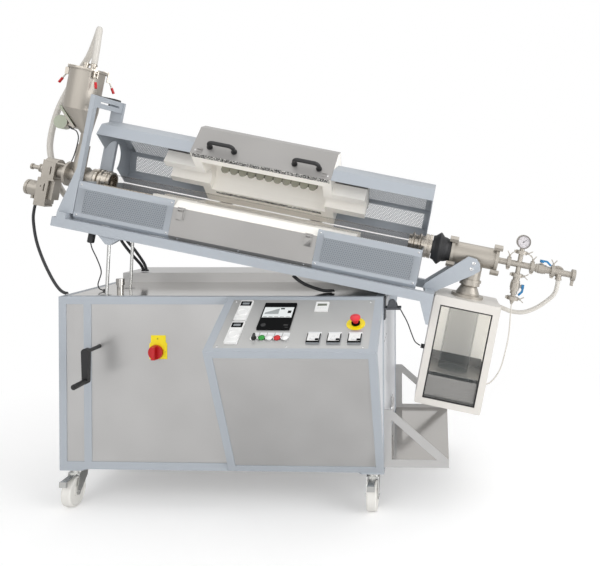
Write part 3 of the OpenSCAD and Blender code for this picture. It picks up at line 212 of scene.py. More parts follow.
# The covers' coat made darker: painted shade seen behind their holes
coverShadePaint = finish("painted_shade_behind_covers", "#8A9299", 0.6, 3, 0.1, mottle=0.02)
# Heater elements of the lid: fired tubes, with a dark sheet behind them that is painted shade in the gaps
# between them
heaterTube = finish("fired_ceramic_tube", "#A3A294", 0.8, 2, 0.3, mottle=0.08)
heaterShade = finish("painted_shade_behind_heaters", "#3F3A33", 0.8, 2, 0.3, mottle=0.2)
# Pressed steel of the gauge's case: dull and darker
gaugeSteel = finish("gauge_case_steel", "#77726E", 0.3, 0.6, 0.03, metallic=0.7)
# Vacuum-formed ceramic fibre: chalky white with a felt-like face
ceramicFibre = finish("ceramic_fibre_board", "#FFFCF6", 0.95, 1.6, 0.5, mottle=0.02)
# Pressed vermiculite under the tube: sandy with coarse flakes
vermiculite = finish("vermiculite_board", "#E3DACD", 0.9, 6, 1.2, mottle=0.1, fleck=("#9C8E7C", 7))
# Braided glass rope along the lid's lips: black with light strands
ropeSeal = finish("glass_rope_seal", "#2A2A2B", 0.85, 4, 0.8, fleck=("#DAD9D5", 5))
# Injection-moulded plastics: even, with a slight sheen, but matt on the black fronts
blackNylon = finish("black_glass_filled_nylon", "#1D1D1E", 0.45, 0.8, 0.06)
blackAbs = finish("black_abs_front", "#08090A", 0.5, 1.0, 0.01, **{"Specular IOR Level": 0.06})
whiteAbs = finish("white_abs", "#E9E9E8", 0.35, 1.0, 0.02, mottle=0.01)
greyLabel = finish("anodised_label_strip", "#E2E3E4", 0.4, 1.0, 0.02, mottle=0.01)
greyAbs = finish("grey_abs_key", "#8C9094", 0.4, 1.0, 0.02, mottle=0.01)
# Cast nylon of the wheels, off-white
castNylon = finish("cast_nylon_wheel", "#E2E0DB", 0.42, 1.5, 0.05, mottle=0.02)
redAbs = finish("red_abs", "#C4161C", 0.3, 1.0, 0.01)
redMushroom = finish("red_acetal_mushroom", "#DB2F3A", 0.3, 1.0, 0.01)
greenAbs = finish("green_abs", "#1E8A2B", 0.3, 1.0, 0.01)
yellowPlate = finish("yellow_printed_plate", "#F7E10A", 0.4, 1.0, 0.01, mottle=0.01)
blueGrip = finish("blue_vinyl_grip", "#1A74A8", 0.35, 1.0, 0.03)
# Rubber, cable jackets and printing
rubberBlack = finish("black_rubber", "#202022", 0.55, 1.0, 0.08)
cableJacket = finish("black_pvc_cable", "#232427", 0.42, 1.0, 0.03)
blackInk = finish("black_printing_ink", "#17181A", 0.5, 1.0, 0.01)
# Primed and enamelled castings
castIron = finish("primed_cast_iron", "#4C4E52", 0.5, 2.0, 0.08, metallic=0.3)
vibratorPaint = finish("grey_green_motor_enamel", "#A9AF9C", 0.35, 2.0, 0.05)
# Dials and displays
dialPaper = finish("white_dial_card", "#CFCBCE", 0.6, 1.0, 0.01, mottle=0.01)
displayWhite = finish("lit_display", "#E8ECEC", 0.2, 1.0, 0.005, mottle=0.02)
displayGrey = finish("display_shading", "#9DA3A3", 0.2, 1.0, 0.005, mottle=0.1)
displayGreen = finish("grey_green_liquid_crystal", "#6C7266", 0.3, 1.0, 0.005, mottle=0.02)
# Silicone hose: smooth and milky
clearHose = finish("translucent_silicone_hose", "#D2CEC7", 0.3, 12, 0.01, mottle=0.03)


# Clear glass drawn as a thin wall: see-through face on, tinted where the wall is seen along itself
def glass(name, tint, clear, edge, start=0.15):
    roughness, streakScale, grazing = 0.03, 25, 0.95
    material, tree = newTree(name)
    place = addNode(tree, "TexCoord").outputs["Object"]
    streaks = addNode(tree, "TexNoise", {"Vector": place, "Scale": streakScale, "Detail": 2}).outputs["Fac"]
    gloss = ramp(tree, streaks, roughness, 2 * roughness)
    facing = addNode(tree, "LayerWeight", {"Blend": 0.35}).outputs["Facing"]
    cover = ramp(tree, facing, clear, edge, start, grazing)
    shader = addNode(tree, "BsdfPrincipled", {"Base Color": linear(tint), "Roughness": gloss, "Alpha": cover,
                                              "IOR": 1.5})
    addNode(tree, "OutputMaterial", {"Surface": shader.outputs[0]})
    return material


# Drawn fused quartz; the brown-grey of its edges, where the wall is seen edge on, is a painted reflection of
# the surroundings
quartz = glass("fused_quartz", "#8A7762", 0.05, 0.9, 0.5)
# Blown borosilicate of the vessel and float glass of the window
vesselGlass = glass("borosilicate_glass", "#7F8383", 0.02, 0.9, 0.5)
windowGlass = glass("float_glass", "#DDE4E4", 0.04, 0.3)
print("materials made")

finishes = (
    (powderCoat, "cabinet_frame tilt_frame feed_portal lower_covers upper_covers"),
    (brushedSteel, "cabinet_panels switchgear_box side_shelf"),
    (fasciaSteel, "console_fascia"),
    (polishedSteel, "table_top"),
    (brushedTilted, "lower_housing upper_housing"),
    (blastedSteel, "drive_unit hopper feeder_housing discharge_tee gas_manifold"),
    (turnedSteel, "hopper_lid feed_screw tube_flanges"),
    (zincPlate, "rear_caster_forks caster_fork_left caster_fork_right lift_rods"),
    (castIron, "pivot_bearings"),
    (creamEnamel, "collecting_box box_door"),
    (ceramicFibre, "lower_insulation upper_insulation"),
    (quartz, "working_tube"),
    (vesselGlass, "glass_bottle"),
    (windowGlass, "box_window"),
    (castNylon, "front_wheel_left front_wheel_right rear_wheel_left rear_wheel_right"),
    (blackNylon, "selector_knob crank_arm crank_grip lid_handles"),
    (blackAbs, "controller"),
    (whiteAbs, "panel_instruments white_button_left white_button_right"),
    (redAbs, "switch_knob red_button"),
    (redMushroom, "estop_button"),
    (greenAbs, "green_button"),
    (yellowPlate, "switch_plates"),
    (blueGrip, "valve_handle_right valve_handle_down"),
    (rubberBlack, "bellows"),
)
nodeMaterials = {nodeName: material for material, nodeNames in finishes for nodeName in nodeNames.split()}
for nodeName, material in nodeMaterials.items():
    mesh = frame["nodes"][nodeName].data
    mesh.materials.clear()
    mesh.materials.append(material)


# Gives a material to the faces of a CAD node whose centres, in the given axes, pass the test
def paint(nodeName, axes, material, test):
    mesh = frame["nodes"][nodeName].data
    mesh.materials.append(material)
    local = axes.inverted()
    for face in mesh.polygons:
        if test(*(local @ face.center)):
            face.material_index = len(mesh.materials) - 1


# Places on the fascia: x along it and y up it from its lower left corner, z out of its recess
buttons = {"across": (177, 207, 236.5, 266.5, 297), "up": 73, "bezel": 15, "front": 6}
legends = {"low": 87, "high": 111, "right": 330, "front": 3}
stop = {"across": 558, "up": 165, "collar": 17.5, "plate": 2.1}
meters = {"across": (380, 459, 538), "pitch": 79, "up": 46, "face": 10, "radius": 25,
          "left": 370, "top": 105, "front": 8.05, "card": 7.9, "cardLeft": 4, "cardRight": 48, "cardLow": 57,
          "side": (1, 7.8)}
counterWindow = {"left": 388, "right": 428, "low": 273, "high": 289, "back": 5.5}
display = {"left": 178, "bottom": 196, "width": 119, "height": 76, "face": 7}
# Places on the machine: along the tube, across and up
vibrator = {"right": -1640, "top": 535, "cable": (-1612, 448), "cableRadius": 15, "cableRight": -1600,
            "front": 263}
feedHopper = {"axis": -1592, "top": 729, "clampDrop": 52, "clampReach": 122}
portalPads = {"front": 214, "rear": 276, "low": 568, "inner": -1444.6, "top": 615.1}
tray = {"left": 184, "right": 449.5, "front": 128, "rear": 369.5, "low": -402.5, "top": -235}
liner = {"left": 183.9, "right": 449.1, "front": 126, "rear": 370.1, "top": 46.1}
doorSeal = {"right": 171.9}
gauge = {"along": 517, "up": 349, "face": 232, "radius": 25, "card": 27.2, "cardRear": 233, "case": 31.5,
         "neck": 318}
shelf = {"up": 200, "sheet": 1}
sideWall = {"left": cabinet["width"] - 8}


def nearButton(x, y, reach):
    return any(math.hypot(x - place, y - buttons["up"]) < reach for place in buttons["across"])


def onMeter(x, y):
    return x > meters["left"] and y < meters["top"]


def onMeterCard(x, y, z):
    along = (x - meters["across"][0]) % meters["pitch"]
    return z > meters["card"] and meters["cardLeft"] < along < meters["cardRight"] and y > meters["cardLow"]


def fromGauge(x, z):
    return math.hypot(x - gauge["along"], z - gauge["up"])


paint("switch_plates", fasciaAxes, greyLabel, lambda x, y, z: (
    z < legends["front"] and legends["low"] < y < legends["high"] and x < legends["right"]))
paint("switch_plates", fasciaAxes, chromeTrim, lambda x, y, z: (
    nearButton(x, y, buttons["bezel"]) and z < buttons["front"]))
paint("switch_plates", fasciaAxes, blackAbs, lambda x, y, z: (
    z > stop["plate"] and math.hypot(x - stop["across"], y - stop["up"]) < stop["collar"]))
paint("panel_instruments", fasciaAxes, blackAbs, lambda x, y, z: (
    onMeter(x, y) and z < meters["front"] and not onMeterCard(x, y, z)))
paint("panel_instruments", fasciaAxes, displayGreen, lambda x, y, z: (
    counterWindow["left"] < x < counterWindow["right"] and counterWindow["low"] < y < counterWindow["high"]
    and z > counterWindow["back"]))
paint("controller", fasciaAxes, displayWhite, lambda x, y, z: z > display["face"] - 0.1)
paint("hopper", machineAxes, vibratorPaint, lambda x, y, z: x < vibrator["right"] and z < vibrator["top"])
paint("hopper", machineAxes, rubberBlack, lambda x, y, z: (
    vibrator["right"] < x < vibrator["cableRight"] and y < vibrator["front"]
    and math.hypot(x - vibrator["cable"][0], z - vibrator["cable"][1]) < vibrator["cableRadius"]))
paint("hopper_lid", machineAxes, redAbs, lambda x, y, z: (
    z < feedHopper["top"] - feedHopper["clampDrop"]
    or math.hypot(x - feedHopper["axis"], y - tubeY) > feedHopper["clampReach"]))
paint("feed_portal", machineAxes, blackNylon, lambda x, y, z: (
    z > portalPads["low"] and portalPads["front"] < y < portalPads["rear"]
    and (x < portalPads["inner"] or z > portalPads["top"])))
paint("collecting_box", machineAxes, darkerSteel, lambda x, y, z: (
    tray["left"] < x < tray["right"] and tray["front"] < y < tray["rear"] and tray["low"] <= z < tray["top"]))
# The box's inner walls above the tray: white liner with a painted glow
paint("collecting_box", machineAxes, linerPaintedGlow, lambda x, y, z: (
    liner["left"] < x < liner["right"] and liner["front"] < y < liner["rear"]
    and tray["top"] < z < liner["top"]))
paint("collecting_box", machineAxes, rubberBlack, lambda x, y, z: x < doorSeal["right"])
# Faces on the cabinet's right side get the lighter copy: painted light
paint("cabinet_panels", cabinetAxes, sideSheetPaintedLight, lambda x, y, z: x > sideWall["left"])
paint("panel_instruments", fasciaAxes, greyAbs, lambda x, y, z: (
    onMeter(x, y) and meters["side"][0] < z < meters["side"][1]))
paint("side_shelf", cabinetAxes, polishedSteel, lambda x, y, z: abs(z - shelf["up"]) < shelf["sheet"])
paint("gas_manifold", machineAxes, dialPaper, lambda x, y, z: (
    fromGauge(x, z) < gauge["card"] and y < gauge["cardRear"]))
paint("gas_manifold", machineAxes, gaugeSteel, lambda x, y, z: (
    fromGauge(x, z) < gauge["case"] and z > gauge["neck"] and y < gauge["face"]))
print("finishes given to", len(nodeMaterials), "nodes")


# A smooth curve through all the points, in so many steps from one to the next
def smoothRoute(points, steps):
    route = []
    for i in range(len(points) - 1):
        a, b, c, d = (Vector(points[min(max(i + k, 0), len(points) - 1)]) for k in (-1, 0, 1, 2))
        for k in range(steps):
            t = k / steps
            square, cube = 2 * a - 5 * b + 4 * c - d, 3 * b - a - 3 * c + d
            route.append(0.5 * (2 * b + (c - a) * t + square * t ** 2 + cube * t ** 3))
    return route + [Vector(points[-1])]


# A tube swept along the route, which is in the given axes; returns the piece and its path in metres
def sweep(name, route, axes, diameter, material, steps):
    roundness = 6
    path = [axes @ point for point in smoothRoute(route, steps)]
    line = bpy.data.curves.new(name, "CURVE")
    line.dimensions = "3D"
    line.bevel_depth = diameter / 2
    line.bevel_resolution = roundness
    line.use_fill_caps = True
    spline = line.splines.new("POLY")
    spline.points.add(len(path) - 1)
    for point, place in zip(spline.points, path):
        point.co = (*place, 1)
    made = newObject(name, line)
    mesh = bpy.data.meshes.new_from_object(made.evaluated_get(bpy.context.evaluated_depsgraph_get()))
    bpy.data.objects.remove(made)
    mesh.materials.clear()
    mesh.materials.append(material)
    for face in mesh.polygons:
        face.use_smooth = len(face.vertices) == 4
    return newObject(name, mesh), path


hose = {"material": clearHose, "tilted": True, "steps": 3, "stiffness": "stiff"}
wire = {"diameter": 0.005, "material": cableJacket, "tilted": False, "steps": 4, "stiffness": "limp"}
cable = {**wire, "diameter": 0.014, "stiffness": "medium", "node": "power_cables"}
cords = {
    "vent_hose": {
        **hose, "diameter": 0.028, "route": [
            (-1570, 245, 764), (-1571, 246, 810), (-1578, 252, 885), (-1588, 266, 928), (-1609, 290, 885),
            (-1645, 320, 800), (-1695, 340, 710), (-1733, 348, 620), (-1760, 350, 530), (-1770, 350, 440),
            (-1767, 350, 350), (-1743, 350, 278), (-1712, 345, 212), (-1671, 340, 163), (-1626, 335, 124),
            (-1575, 332, 100), (-1515, 332, 84), (-1481, 332, 82)]},
    "exhaust_hose": {
        **hose, "diameter": 0.020, "route": [
            (700, 245, 211), (702, 247, 180), (697, 258, 142), (667, 275, 97), (628, 287, 58),
            (583, 296, 31), (535, 300, 24), (505, 300, 28), (475, 300, 34)]},
    "purge_tube": {
        **hose, "diameter": 0.006, "steps": 4, "stiffness": "medium", "route": [
            (518, 245, 63), (524, 245, 10), (532, 245, -56), (534, 245, -126), (528, 245, -221),
            (512, 245, -272), (493, 245, -302), (472, 245, -316)]},
    "vibrator_wire": {
        **wire, "tilted": True, "route": [
            (-1604, 218, 452), (-1576, 214, 446), (-1558, 210, 420), (-1556, 208, 380), (-1560, 210, 346),
            (-1571, 222, 320), (-1583, 236, 305)]},
    "motor_cable": {
        **wire, "diameter": 0.013, "stiffness": "medium", "route": [
            (-252, 245, 1288), (-259, 244, 1255), (-260, 240, 1209), (-231, 215, 1120), (-172, 170, 1034),
            (-92, 110, 953), (-34, 70, 912), (0, 54, 900.5)]},
    "probe_wire": {
        **wire, "route": [
            (97, 80, 1116), (102, 83, 1090), (114, 95, 1051), (121, 115, 1005), (118, 127, 978),
            (103, 140, 950), (91, 150, 925), (95, 157, 905), (114, 162, 897)]},
    "box_wire": {
        **wire, "route": [
            (1446, 56, 837), (1457, 80, 810), (1474, 120, 766), (1488, 180, 708), (1500, 225, 664),
            (1512, 240, 648), (1525, 245, 639)]},
}
powerRoutes = {
    "power_cable_rear": [
        (20, 448, 1172), (34, 450, 1132), (57, 456, 1086), (87, 480, 1032), (118, 510, 978), (128, 520, 947)],
    "power_cable_front": [
        (50, 448, 1167), (62, 450, 1130), (82, 456, 1092), (104, 482, 1050), (134, 512, 984),
        (143, 520, 947)],
    "heater_cable": [
        (985, 86, 972), (1003, 100, 952), (1030, 112, 932), (1071, 122, 914), (1110, 126, 903),
        (1145, 128, 901.5)],
}
for name, route in powerRoutes.items():
    cords[name] = {**cable, "route": route}
for name, cord in cords.items():
    piece, path = sweep(name + "_line", cord["route"], machineAxes if cord["tilted"] else cabinetAxes,
                        cord["diameter"], cord["material"], cord["steps"])
    if cord["tilted"]:
        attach(piece, "furnace")
    else:
        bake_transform(piece)
    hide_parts(cord.get("node", name))
print("cords laid:", len(cords))


# Vertices that the mesh has gained
def added(mesh, before):
    return [vert for vert in mesh.verts if vert not in before]


def vertsIn(geometry):
    return [item for item in geometry if isinstance(item, bmesh.types.BMVert)]


def extrude(mesh, faces, way):
    made = bmesh.ops.extrude_face_region(mesh, geom=faces)["geom"]
    bmesh.ops.translate(mesh, verts=vertsIn(made), vec=way)


# Pieces are drawn in millimetres in their own axes, then put in place
# A block from its low to its high corner, its edges rounded, and moved by place
def slab(mesh, low, high, rounding=0.0, place=None):
    before = set(mesh.verts)
    made = bmesh.ops.create_cube(mesh, size=1)["verts"]
    bmesh.ops.scale(mesh, verts=made, vec=[b - a for a, b in zip(low, high)])
    bmesh.ops.translate(mesh, verts=made, vec=[(a + b) / 2 for a, b in zip(low, high)])
    if rounding:
        edges = {edge for vert in made for edge in vert.link_edges}
        bmesh.ops.bevel(mesh, geom=list(edges), offset=rounding, segments=2, profile=0.5, affect="EDGES",
                        material=-1)
    if place:
        bmesh.ops.transform(mesh, matrix=place, verts=added(mesh, before))


# A profile of (radius, height) points turned round z, then put at the place given
def turned(mesh, profile, place, steps=32):
    verts = [mesh.verts.new((radius, 0, height)) for radius, height in profile]
    edges = [mesh.edges.new(pair) for pair in zip(verts, verts[1:])]
    before = set(mesh.verts) - set(verts)
    bmesh.ops.spin(mesh, geom=verts + edges, cent=(0, 0, 0), axis=(0, 0, 1), angle=2 * math.pi, steps=steps,
                   use_merge=True)
    bmesh.ops.remove_doubles(mesh, verts=added(mesh, before), dist=0.001)
    bmesh.ops.transform(mesh, matrix=place, verts=added(mesh, before))


# Raised letters, centred on the place given
def letters(mesh, text, size, place):
    thickness = 0.1
    line = bpy.data.curves.new("letters", "FONT")
    line.body = text
    line.size = size
    line.extrude = thickness
    line.resolution_u = 3
    line.align_x = "CENTER"
    line.align_y = "CENTER"
    drawn = newObject("letters", line)
    flat = bpy.data.meshes.new_from_object(drawn.evaluated_get(bpy.context.evaluated_depsgraph_get()))
    bpy.data.objects.remove(drawn)
    flat.transform(place)
    mesh.from_mesh(flat)
    bpy.data.meshes.remove(flat)


# Makes the mesh, drawn in the given axes, a piece that rides on a body
def keep(name, mesh, axes, material, body, crease=35):
    bmesh.ops.recalc_face_normals(mesh, faces=mesh.faces)
    bmesh.ops.transform(mesh, matrix=axes, verts=mesh.verts)
    data = bpy.data.meshes.new(name)
    mesh.to_mesh(data)
    mesh.free()
    data.materials.append(material)
    data.polygons.foreach_set("use_smooth", [True] * len(data.polygons))
    data.set_sharp_from_angle(angle=math.radians(crease))
    piece = newObject(name, data)
    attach(piece, body)
    return piece


# Perforated fields of the covers: pitch and opening of the holes, and each field's plane, length and height
perforation = {
    "pitch": {"lower_covers": 10, "upper_covers": 8},
    "opening": {"lower_covers": 5.4, "upper_covers": 4.8},
    "thickness": 1.4,
    "sunk": 0.3,
    "overlap": 3,
    "sheet": 3,             # how near its plane a cover's sheet lies
}
quarter = math.pi / 4
fields = {
    "lower_covers": {"axes": machineAxes, "body": "furnace", "windows": [
        (shift(-1390, 47, 104) @ upright, 364, 104),
        (shift(-340, 47, 104) @ upright, 392, 104),
        (shift(-1390, 443, 208) @ turn(-math.pi / 2, "X"), 364, 104),
        (shift(-340, 443, 208) @ turn(-math.pi / 2, "X"), 392, 104)]},
    "upper_covers": {"axes": openAxes, "body": "lid", "windows": [
        (shift(-1390, 380, 360) @ turn(-quarter, "X"), 364, 75),
        (shift(-340, 380, 360) @ turn(-quarter, "X"), 392, 75),
        (shift(-1390, 235, 370), 364, 120),
        (shift(-340, 235, 370), 392, 120)]},
}


# One field of round holes, drawn as hexagons in staggered rows
def perforatedSheet(nodeName, number, place, length, height):
    field = fields[nodeName]
    pitch = perforation["pitch"][nodeName]
    mesh = bmesh.new()
    bmesh.ops.create_circle(mesh, cap_ends=True, segments=6, radius=pitch / math.sqrt(3))
    web = (pitch - perforation["opening"][nodeName]) / 2
    bmesh.ops.inset_individual(mesh, faces=mesh.faces[:], thickness=web)
    inner = min(mesh.faces, key=lambda face: face.calc_center_median().length)
    bmesh.ops.delete(mesh, geom=[inner], context="FACES_ONLY")
    bmesh.ops.rotate(mesh, verts=mesh.verts, cent=(0, 0, 0), matrix=Matrix.Rotation(math.pi / 6, 3, "Z"))
    rise = pitch * math.sqrt(3) / 2
    columns = int((length + 2 * perforation["overlap"]) / pitch) + 2
    rows = int((height + 2 * perforation["overlap"]) / rise) + 2
    for count, step in ((columns, (pitch, 0, 0)), (rows, None)):
        unit = mesh.verts[:] + mesh.edges[:] + mesh.faces[:]
        for i in range(1, count):
            made = bmesh.ops.duplicate(mesh, geom=unit)["geom"]
            way = Vector(step) * i if step else Vector((-pitch / 2 * (i % 2), rise * i, 0))
            bmesh.ops.translate(mesh, verts=vertsIn(made), vec=way)
    bmesh.ops.remove_doubles(mesh, verts=mesh.verts, dist=0.01)
    edge = perforation["overlap"]
    for corner, way in (((-edge, 0, 0), (-1, 0, 0)), ((length + edge, 0, 0), (1, 0, 0)),
                        ((0, -edge, 0), (0, -1, 0)), ((0, height + edge, 0), (0, 1, 0))):
        bmesh.ops.bisect_plane(mesh, geom=mesh.verts[:] + mesh.edges[:] + mesh.faces[:], plane_co=corner,
                               plane_no=way, clear_outer=True)
    extrude(mesh, mesh.faces[:], (0, 0, -perforation["thickness"]))
    bmesh.ops.translate(mesh, verts=mesh.verts, vec=(0, 0, -perforation["sunk"]))
    sheet = keep(f"{nodeName}_perforation_{number}", mesh, field["axes"] @ place, powderCoat, field["body"],
                 crease=20)
    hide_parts(nodeName)


# The CAD node's mesh, brought into the given axes
def fromCad(nodeName, axes):
    mesh = bmesh.new()
    mesh.from_mesh(frame["nodes"][nodeName].data)
    bmesh.ops.remove_doubles(mesh, verts=mesh.verts, dist=1e-6)
    bmesh.ops.transform(mesh, matrix=axes.inverted(), verts=mesh.verts)
    return mesh


for nodeName, field in fields.items():
    shell = fromCad(nodeName, field["axes"])
    for place, length, height in field["windows"]:
        local = place.inverted()
        for corner, way in (((0, 0, 0), (1, 0, 0)), ((length, 0, 0), (1, 0, 0)),
                            ((0, 0, 0), (0, 1, 0)), ((0, height, 0), (0, 1, 0))):
            near = [face for face in shell.faces
                    if abs((local @ face.calc_center_median()).z) < perforation["sheet"]]
            touched = {item for face in near for item in (*face.verts, *face.edges, face)}
            bmesh.ops.bisect_plane(shell, geom=list(touched), plane_co=place @ Vector(corner),
                                   plane_no=place.to_3x3() @ Vector(way))
        opened = []
        for face in shell.faces:
            x, y, z = local @ face.calc_center_median()
            level = abs(z) < perforation["sheet"] and abs((local.to_3x3() @ face.normal).z) > 0.9
            if level and 0 < x < length and 0 < y < height:
                opened.append(face)
        bmesh.ops.delete(shell, geom=opened, context="FACES_ONLY")
    skin = keep(nodeName + "_sheets", shell, field["axes"], powderCoat, field["body"], crease=20)
    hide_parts(nodeName)
    for number, (place, length, height) in enumerate(field["windows"]):
        perforatedSheet(nodeName, number + 1, place, length, height)
print("covers perforated")


# The CAD node with solids cut out of it, shown in the node's place
def carve(nodeName, axes, cutters, material, body):
    solids = []
    for number, source in enumerate((fromCad(nodeName, axes), cutters)):
        bmesh.ops.recalc_face_normals(source, faces=source.faces)
        mesh = bpy.data.meshes.new(f"carving_{number}")
        source.to_mesh(mesh)
        source.free()
        solids.append(newObject(f"carving_{number}", mesh))
    cut = solids[0].modifiers.new("cut", "BOOLEAN")
    cut.object = solids[1]
    carved = bmesh.new()
    carved.from_mesh(solids[0].evaluated_get(bpy.context.evaluated_depsgraph_get()).data)
    for solid in solids:
        bpy.data.objects.remove(solid)
    piece = keep(nodeName + "_carved", carved, axes, material, body, crease=20)
    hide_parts(nodeName)


# A prism along the tube: outline points across and up, from one end to the other
def prism(mesh, outline, low, high):
    face = mesh.faces.new([mesh.verts.new((low, y, z)) for y, z in outline])
    extrude(mesh, [face], (high - low, 0, 0))


# Dark plates close behind the lower covers' fields: painted shade seen through the holes
shadePlates = {"ends": ((-1394, -1022), (-344, 56)), "face": 52, "thickness": 2, "low": 100, "high": 212}
shadeSheets = bmesh.new()
for low, high in shadePlates["ends"]:
    slab(shadeSheets, (low, shadePlates["face"], shadePlates["low"]),
         (high, shadePlates["face"] + shadePlates["thickness"], shadePlates["high"]))
keep("cover_shade_plates", shadeSheets, machineAxes, coverShadePaint, "furnace")

# Heated chamber of the lid, wide and arched, with a row of heater ends behind the front lip
chamber = {"left": -958, "right": -408, "front": 110, "rear": 338, "face": 240.5, "rise": 100, "below": 200}
heaters = {"count": 11, "pitch": 41, "radius": 18, "front": 186, "low": 257, "top": 322, "thickness": 10,
           "middle": -672}
gapShade = {"gap": 1, "thickness": 3, "above": 17}
middleY = (chamber["front"] + chamber["rear"]) / 2
halfWidth = (chamber["rear"] - chamber["front"]) / 2
arch = [(middleY + halfWidth * math.cos(a), chamber["face"] + chamber["rise"] * math.sin(a))
        for a in (math.pi * i / 24 for i in range(25))]
hollow = bmesh.new()
prism(hollow, [(chamber["rear"], chamber["below"])] + arch + [(chamber["front"], chamber["below"])],
      chamber["left"], chamber["right"])
carve("upper_insulation", openAxes, hollow, ceramicFibre, "lid")
ends = bmesh.new()
radius = heaters["radius"]
shoulder = heaters["top"] - heaters["low"] - radius
under = [(radius * math.cos(a), radius * math.sin(a))
         for a in (math.pi + math.pi * k / 12 for k in range(13))]
for i in range(heaters["count"]):
    along = heaters["middle"] + (i - (heaters["count"] - 1) / 2) * heaters["pitch"]
    outline = [(along + x, heaters["front"], heaters["low"] + radius + z)
               for x, z in under + [(radius, shoulder), (-radius, shoulder)]]
    face = ends.faces.new([ends.verts.new(point) for point in outline])
    extrude(ends, [face], (0, heaters["thickness"], 0))
keep("heater_ends", ends, openAxes, heaterTube, "lid")
# A dark slab behind the heater ends: painted shade in the gaps between them
shade = bmesh.new()
reach = heaters["count"] * heaters["pitch"] / 2
face = heaters["front"] + heaters["thickness"] + gapShade["gap"]
slab(shade, (heaters["middle"] - reach, face, heaters["low"] + gapShade["above"]),
     (heaters["middle"] + reach, face + gapShade["thickness"], heaters["top"]))
keep("heater_gap_shade", shade, openAxes, heaterShade, "lid")

# The lower half: its front sheet ends below the split, the fibre behind slopes up to the tube, and a groove
# takes the lid's rear rope
lip = {"low": 210, "depth": 36.5, "sheet": (44.9, 47.2), "face": 46.5, "top": 239.6, "over": 243}
groove = {"front": 348, "rear": 366, "low": 236.8, "inset": 18}
sheetCut = bmesh.new()
slab(sheetCut, (furnace["left"] - 1, lip["sheet"][0], lip["low"]),
     (furnace["right"] + 1, lip["sheet"][1], lip["over"]))
carve("lower_housing", machineAxes, sheetCut, brushedTilted, "furnace")
slopeEnd = lip["face"] + lip["depth"]
bevel = bmesh.new()
slope = [(lip["face"], lip["low"]), (slopeEnd, lip["top"]),
         (slopeEnd, lip["over"]), (lip["face"], lip["over"])]
prism(bevel, slope, furnace["left"] - 1, furnace["right"] + 1)
slab(bevel, (chamber["left"] + groove["inset"], groove["front"], groove["low"]),
     (chamber["right"] - groove["inset"], groove["rear"], lip["over"]))
carve("lower_insulation", machineAxes, bevel, ceramicFibre, "furnace")
print("furnace halves carved")

# Socket lids: a ring round each opening, a finger lip, and above the hinge a black field with a bare strip
sockets = {"middle": 93.5, "up": (42, 179), "face": 9}
lids = bmesh.new()
labels = bmesh.new()
strips = bmesh.new()


def onSocket(mesh, half, low, high, back, front, rounding):
    slab(mesh, (sockets["middle"] - half, low, back), (sockets["middle"] + half, high, front), rounding)


for up in sockets["up"]:
    face = sockets["face"]
    turned(lids, [(15, 3.8), (16, 5.2), (18, 5.2), (19, 3.8)], shift(sockets["middle"], up + 46, face))
    onSocket(lids, 20, up + 3, up + 14, face - 1, face + 3, 1.2)
    onSocket(lids, 22, up + 80, up + 84, face - 1, face + 3, 1.2)
    onSocket(lids, 25.5, up + 104, up + 127, -0.5, face, 1.5)
    onSocket(labels, 22, up + 90, up + 119, face - 1, face + 0.6, 0.3)
    onSocket(strips, 14, up + 98, up + 110, face, face + 0.9, 0.3)
keep("socket_lid_relief", lids, fasciaAxes, whiteAbs, "cabinet")
keep("socket_label_fields", labels, fasciaAxes, blackAbs, "cabinet")
keep("socket_label_strips", strips, fasciaAxes, greyAbs, "cabinet")

# The controller's picture: a shaded firing curve, status blocks and a row of fields, with keys below
shading = bmesh.new()
blocks = bmesh.new()


def onDisplay(mesh, low, high, front=0.2):
    left, bottom, face = display["left"], display["bottom"], display["face"]
    slab(mesh, (left + low[0], bottom + low[1], face - 0.2), (left + high[0], bottom + high[1], face + front))


onDisplay(shading, (6, 22), (62, 58), 0.15)
for vert in shading.verts:
    if vert.co.y > display["bottom"] + 40 and vert.co.x < display["left"] + 30:
        vert.co.y = display["bottom"] + 30
onDisplay(blocks, (0, display["height"] - 10), (display["width"], display["height"]))
onDisplay(blocks, (66, 52), (82, 60))
onDisplay(blocks, (98, 28), (112, 44))
for i in range(5):
    onDisplay(blocks, (4 + i * 23, 3), (20 + i * 23, 5))
keep("display_curve", shading, fasciaAxes, displayGrey, "cabinet")
keep("display_fields", blocks, fasciaAxes, blackAbs, "cabinet")
keys = bmesh.new()
turned(keys, [(0, 1.2), (9, 1.2), (10, 0.4), (10, -0.4)], shift(195, 150, 6))
slab(keys, (275, 146, 5.5), (293, 154, 6.8), 0.5)
slab(keys, (283, 134, 5.5), (295, 138, 6.6), 0.3)
keep("controller_keys", keys, fasciaAxes, blackNylon, "cabinet")

# Hour counter: four small keys under its display
counter = bmesh.new()
for i in range(4):
    slab(counter, (391 + i * 10, 256, 4.5), (397 + i * 10, 262, 6.2), 0.6)
keep("counter_keys", counter, fasciaAxes, greyLabel, "cabinet")

# Ammeters: quarter scale with numbers, a needle and its dark pivot cover
scales = bmesh.new()
pivots = bmesh.new()
for across in meters["across"]:
    centre = shift(across + 41, meters["up"] + 16, meters["face"])
    for i in range(11):
        angle = math.radians(90 + 9 * i)
        reach = meters["radius"] + (4 if i % 5 == 0 else 2.4)
        slab(scales, (meters["radius"], -0.25, -0.1), (reach, 0.25, 0.15), place=centre @ turn(angle, "Z"))
        if i % 5 == 0:
            letters(scales, str(2 * i), 4.5, centre @ shift(20 * math.cos(angle), 20 * math.sin(angle), 0.05))
    slab(scales, (3, -0.35, 0.2), (27, 0.35, 0.5), place=centre @ turn(math.radians(178), "Z"))
    slab(pivots, (across + 35, meters["up"] + 10, 9.5), (across + 48, meters["up"] + 20, 12), 0.8)
keep("meter_scales", scales, fasciaAxes, greyAbs, "cabinet")
keep("meter_pivot_covers", pivots, fasciaAxes, blackAbs, "cabinet")
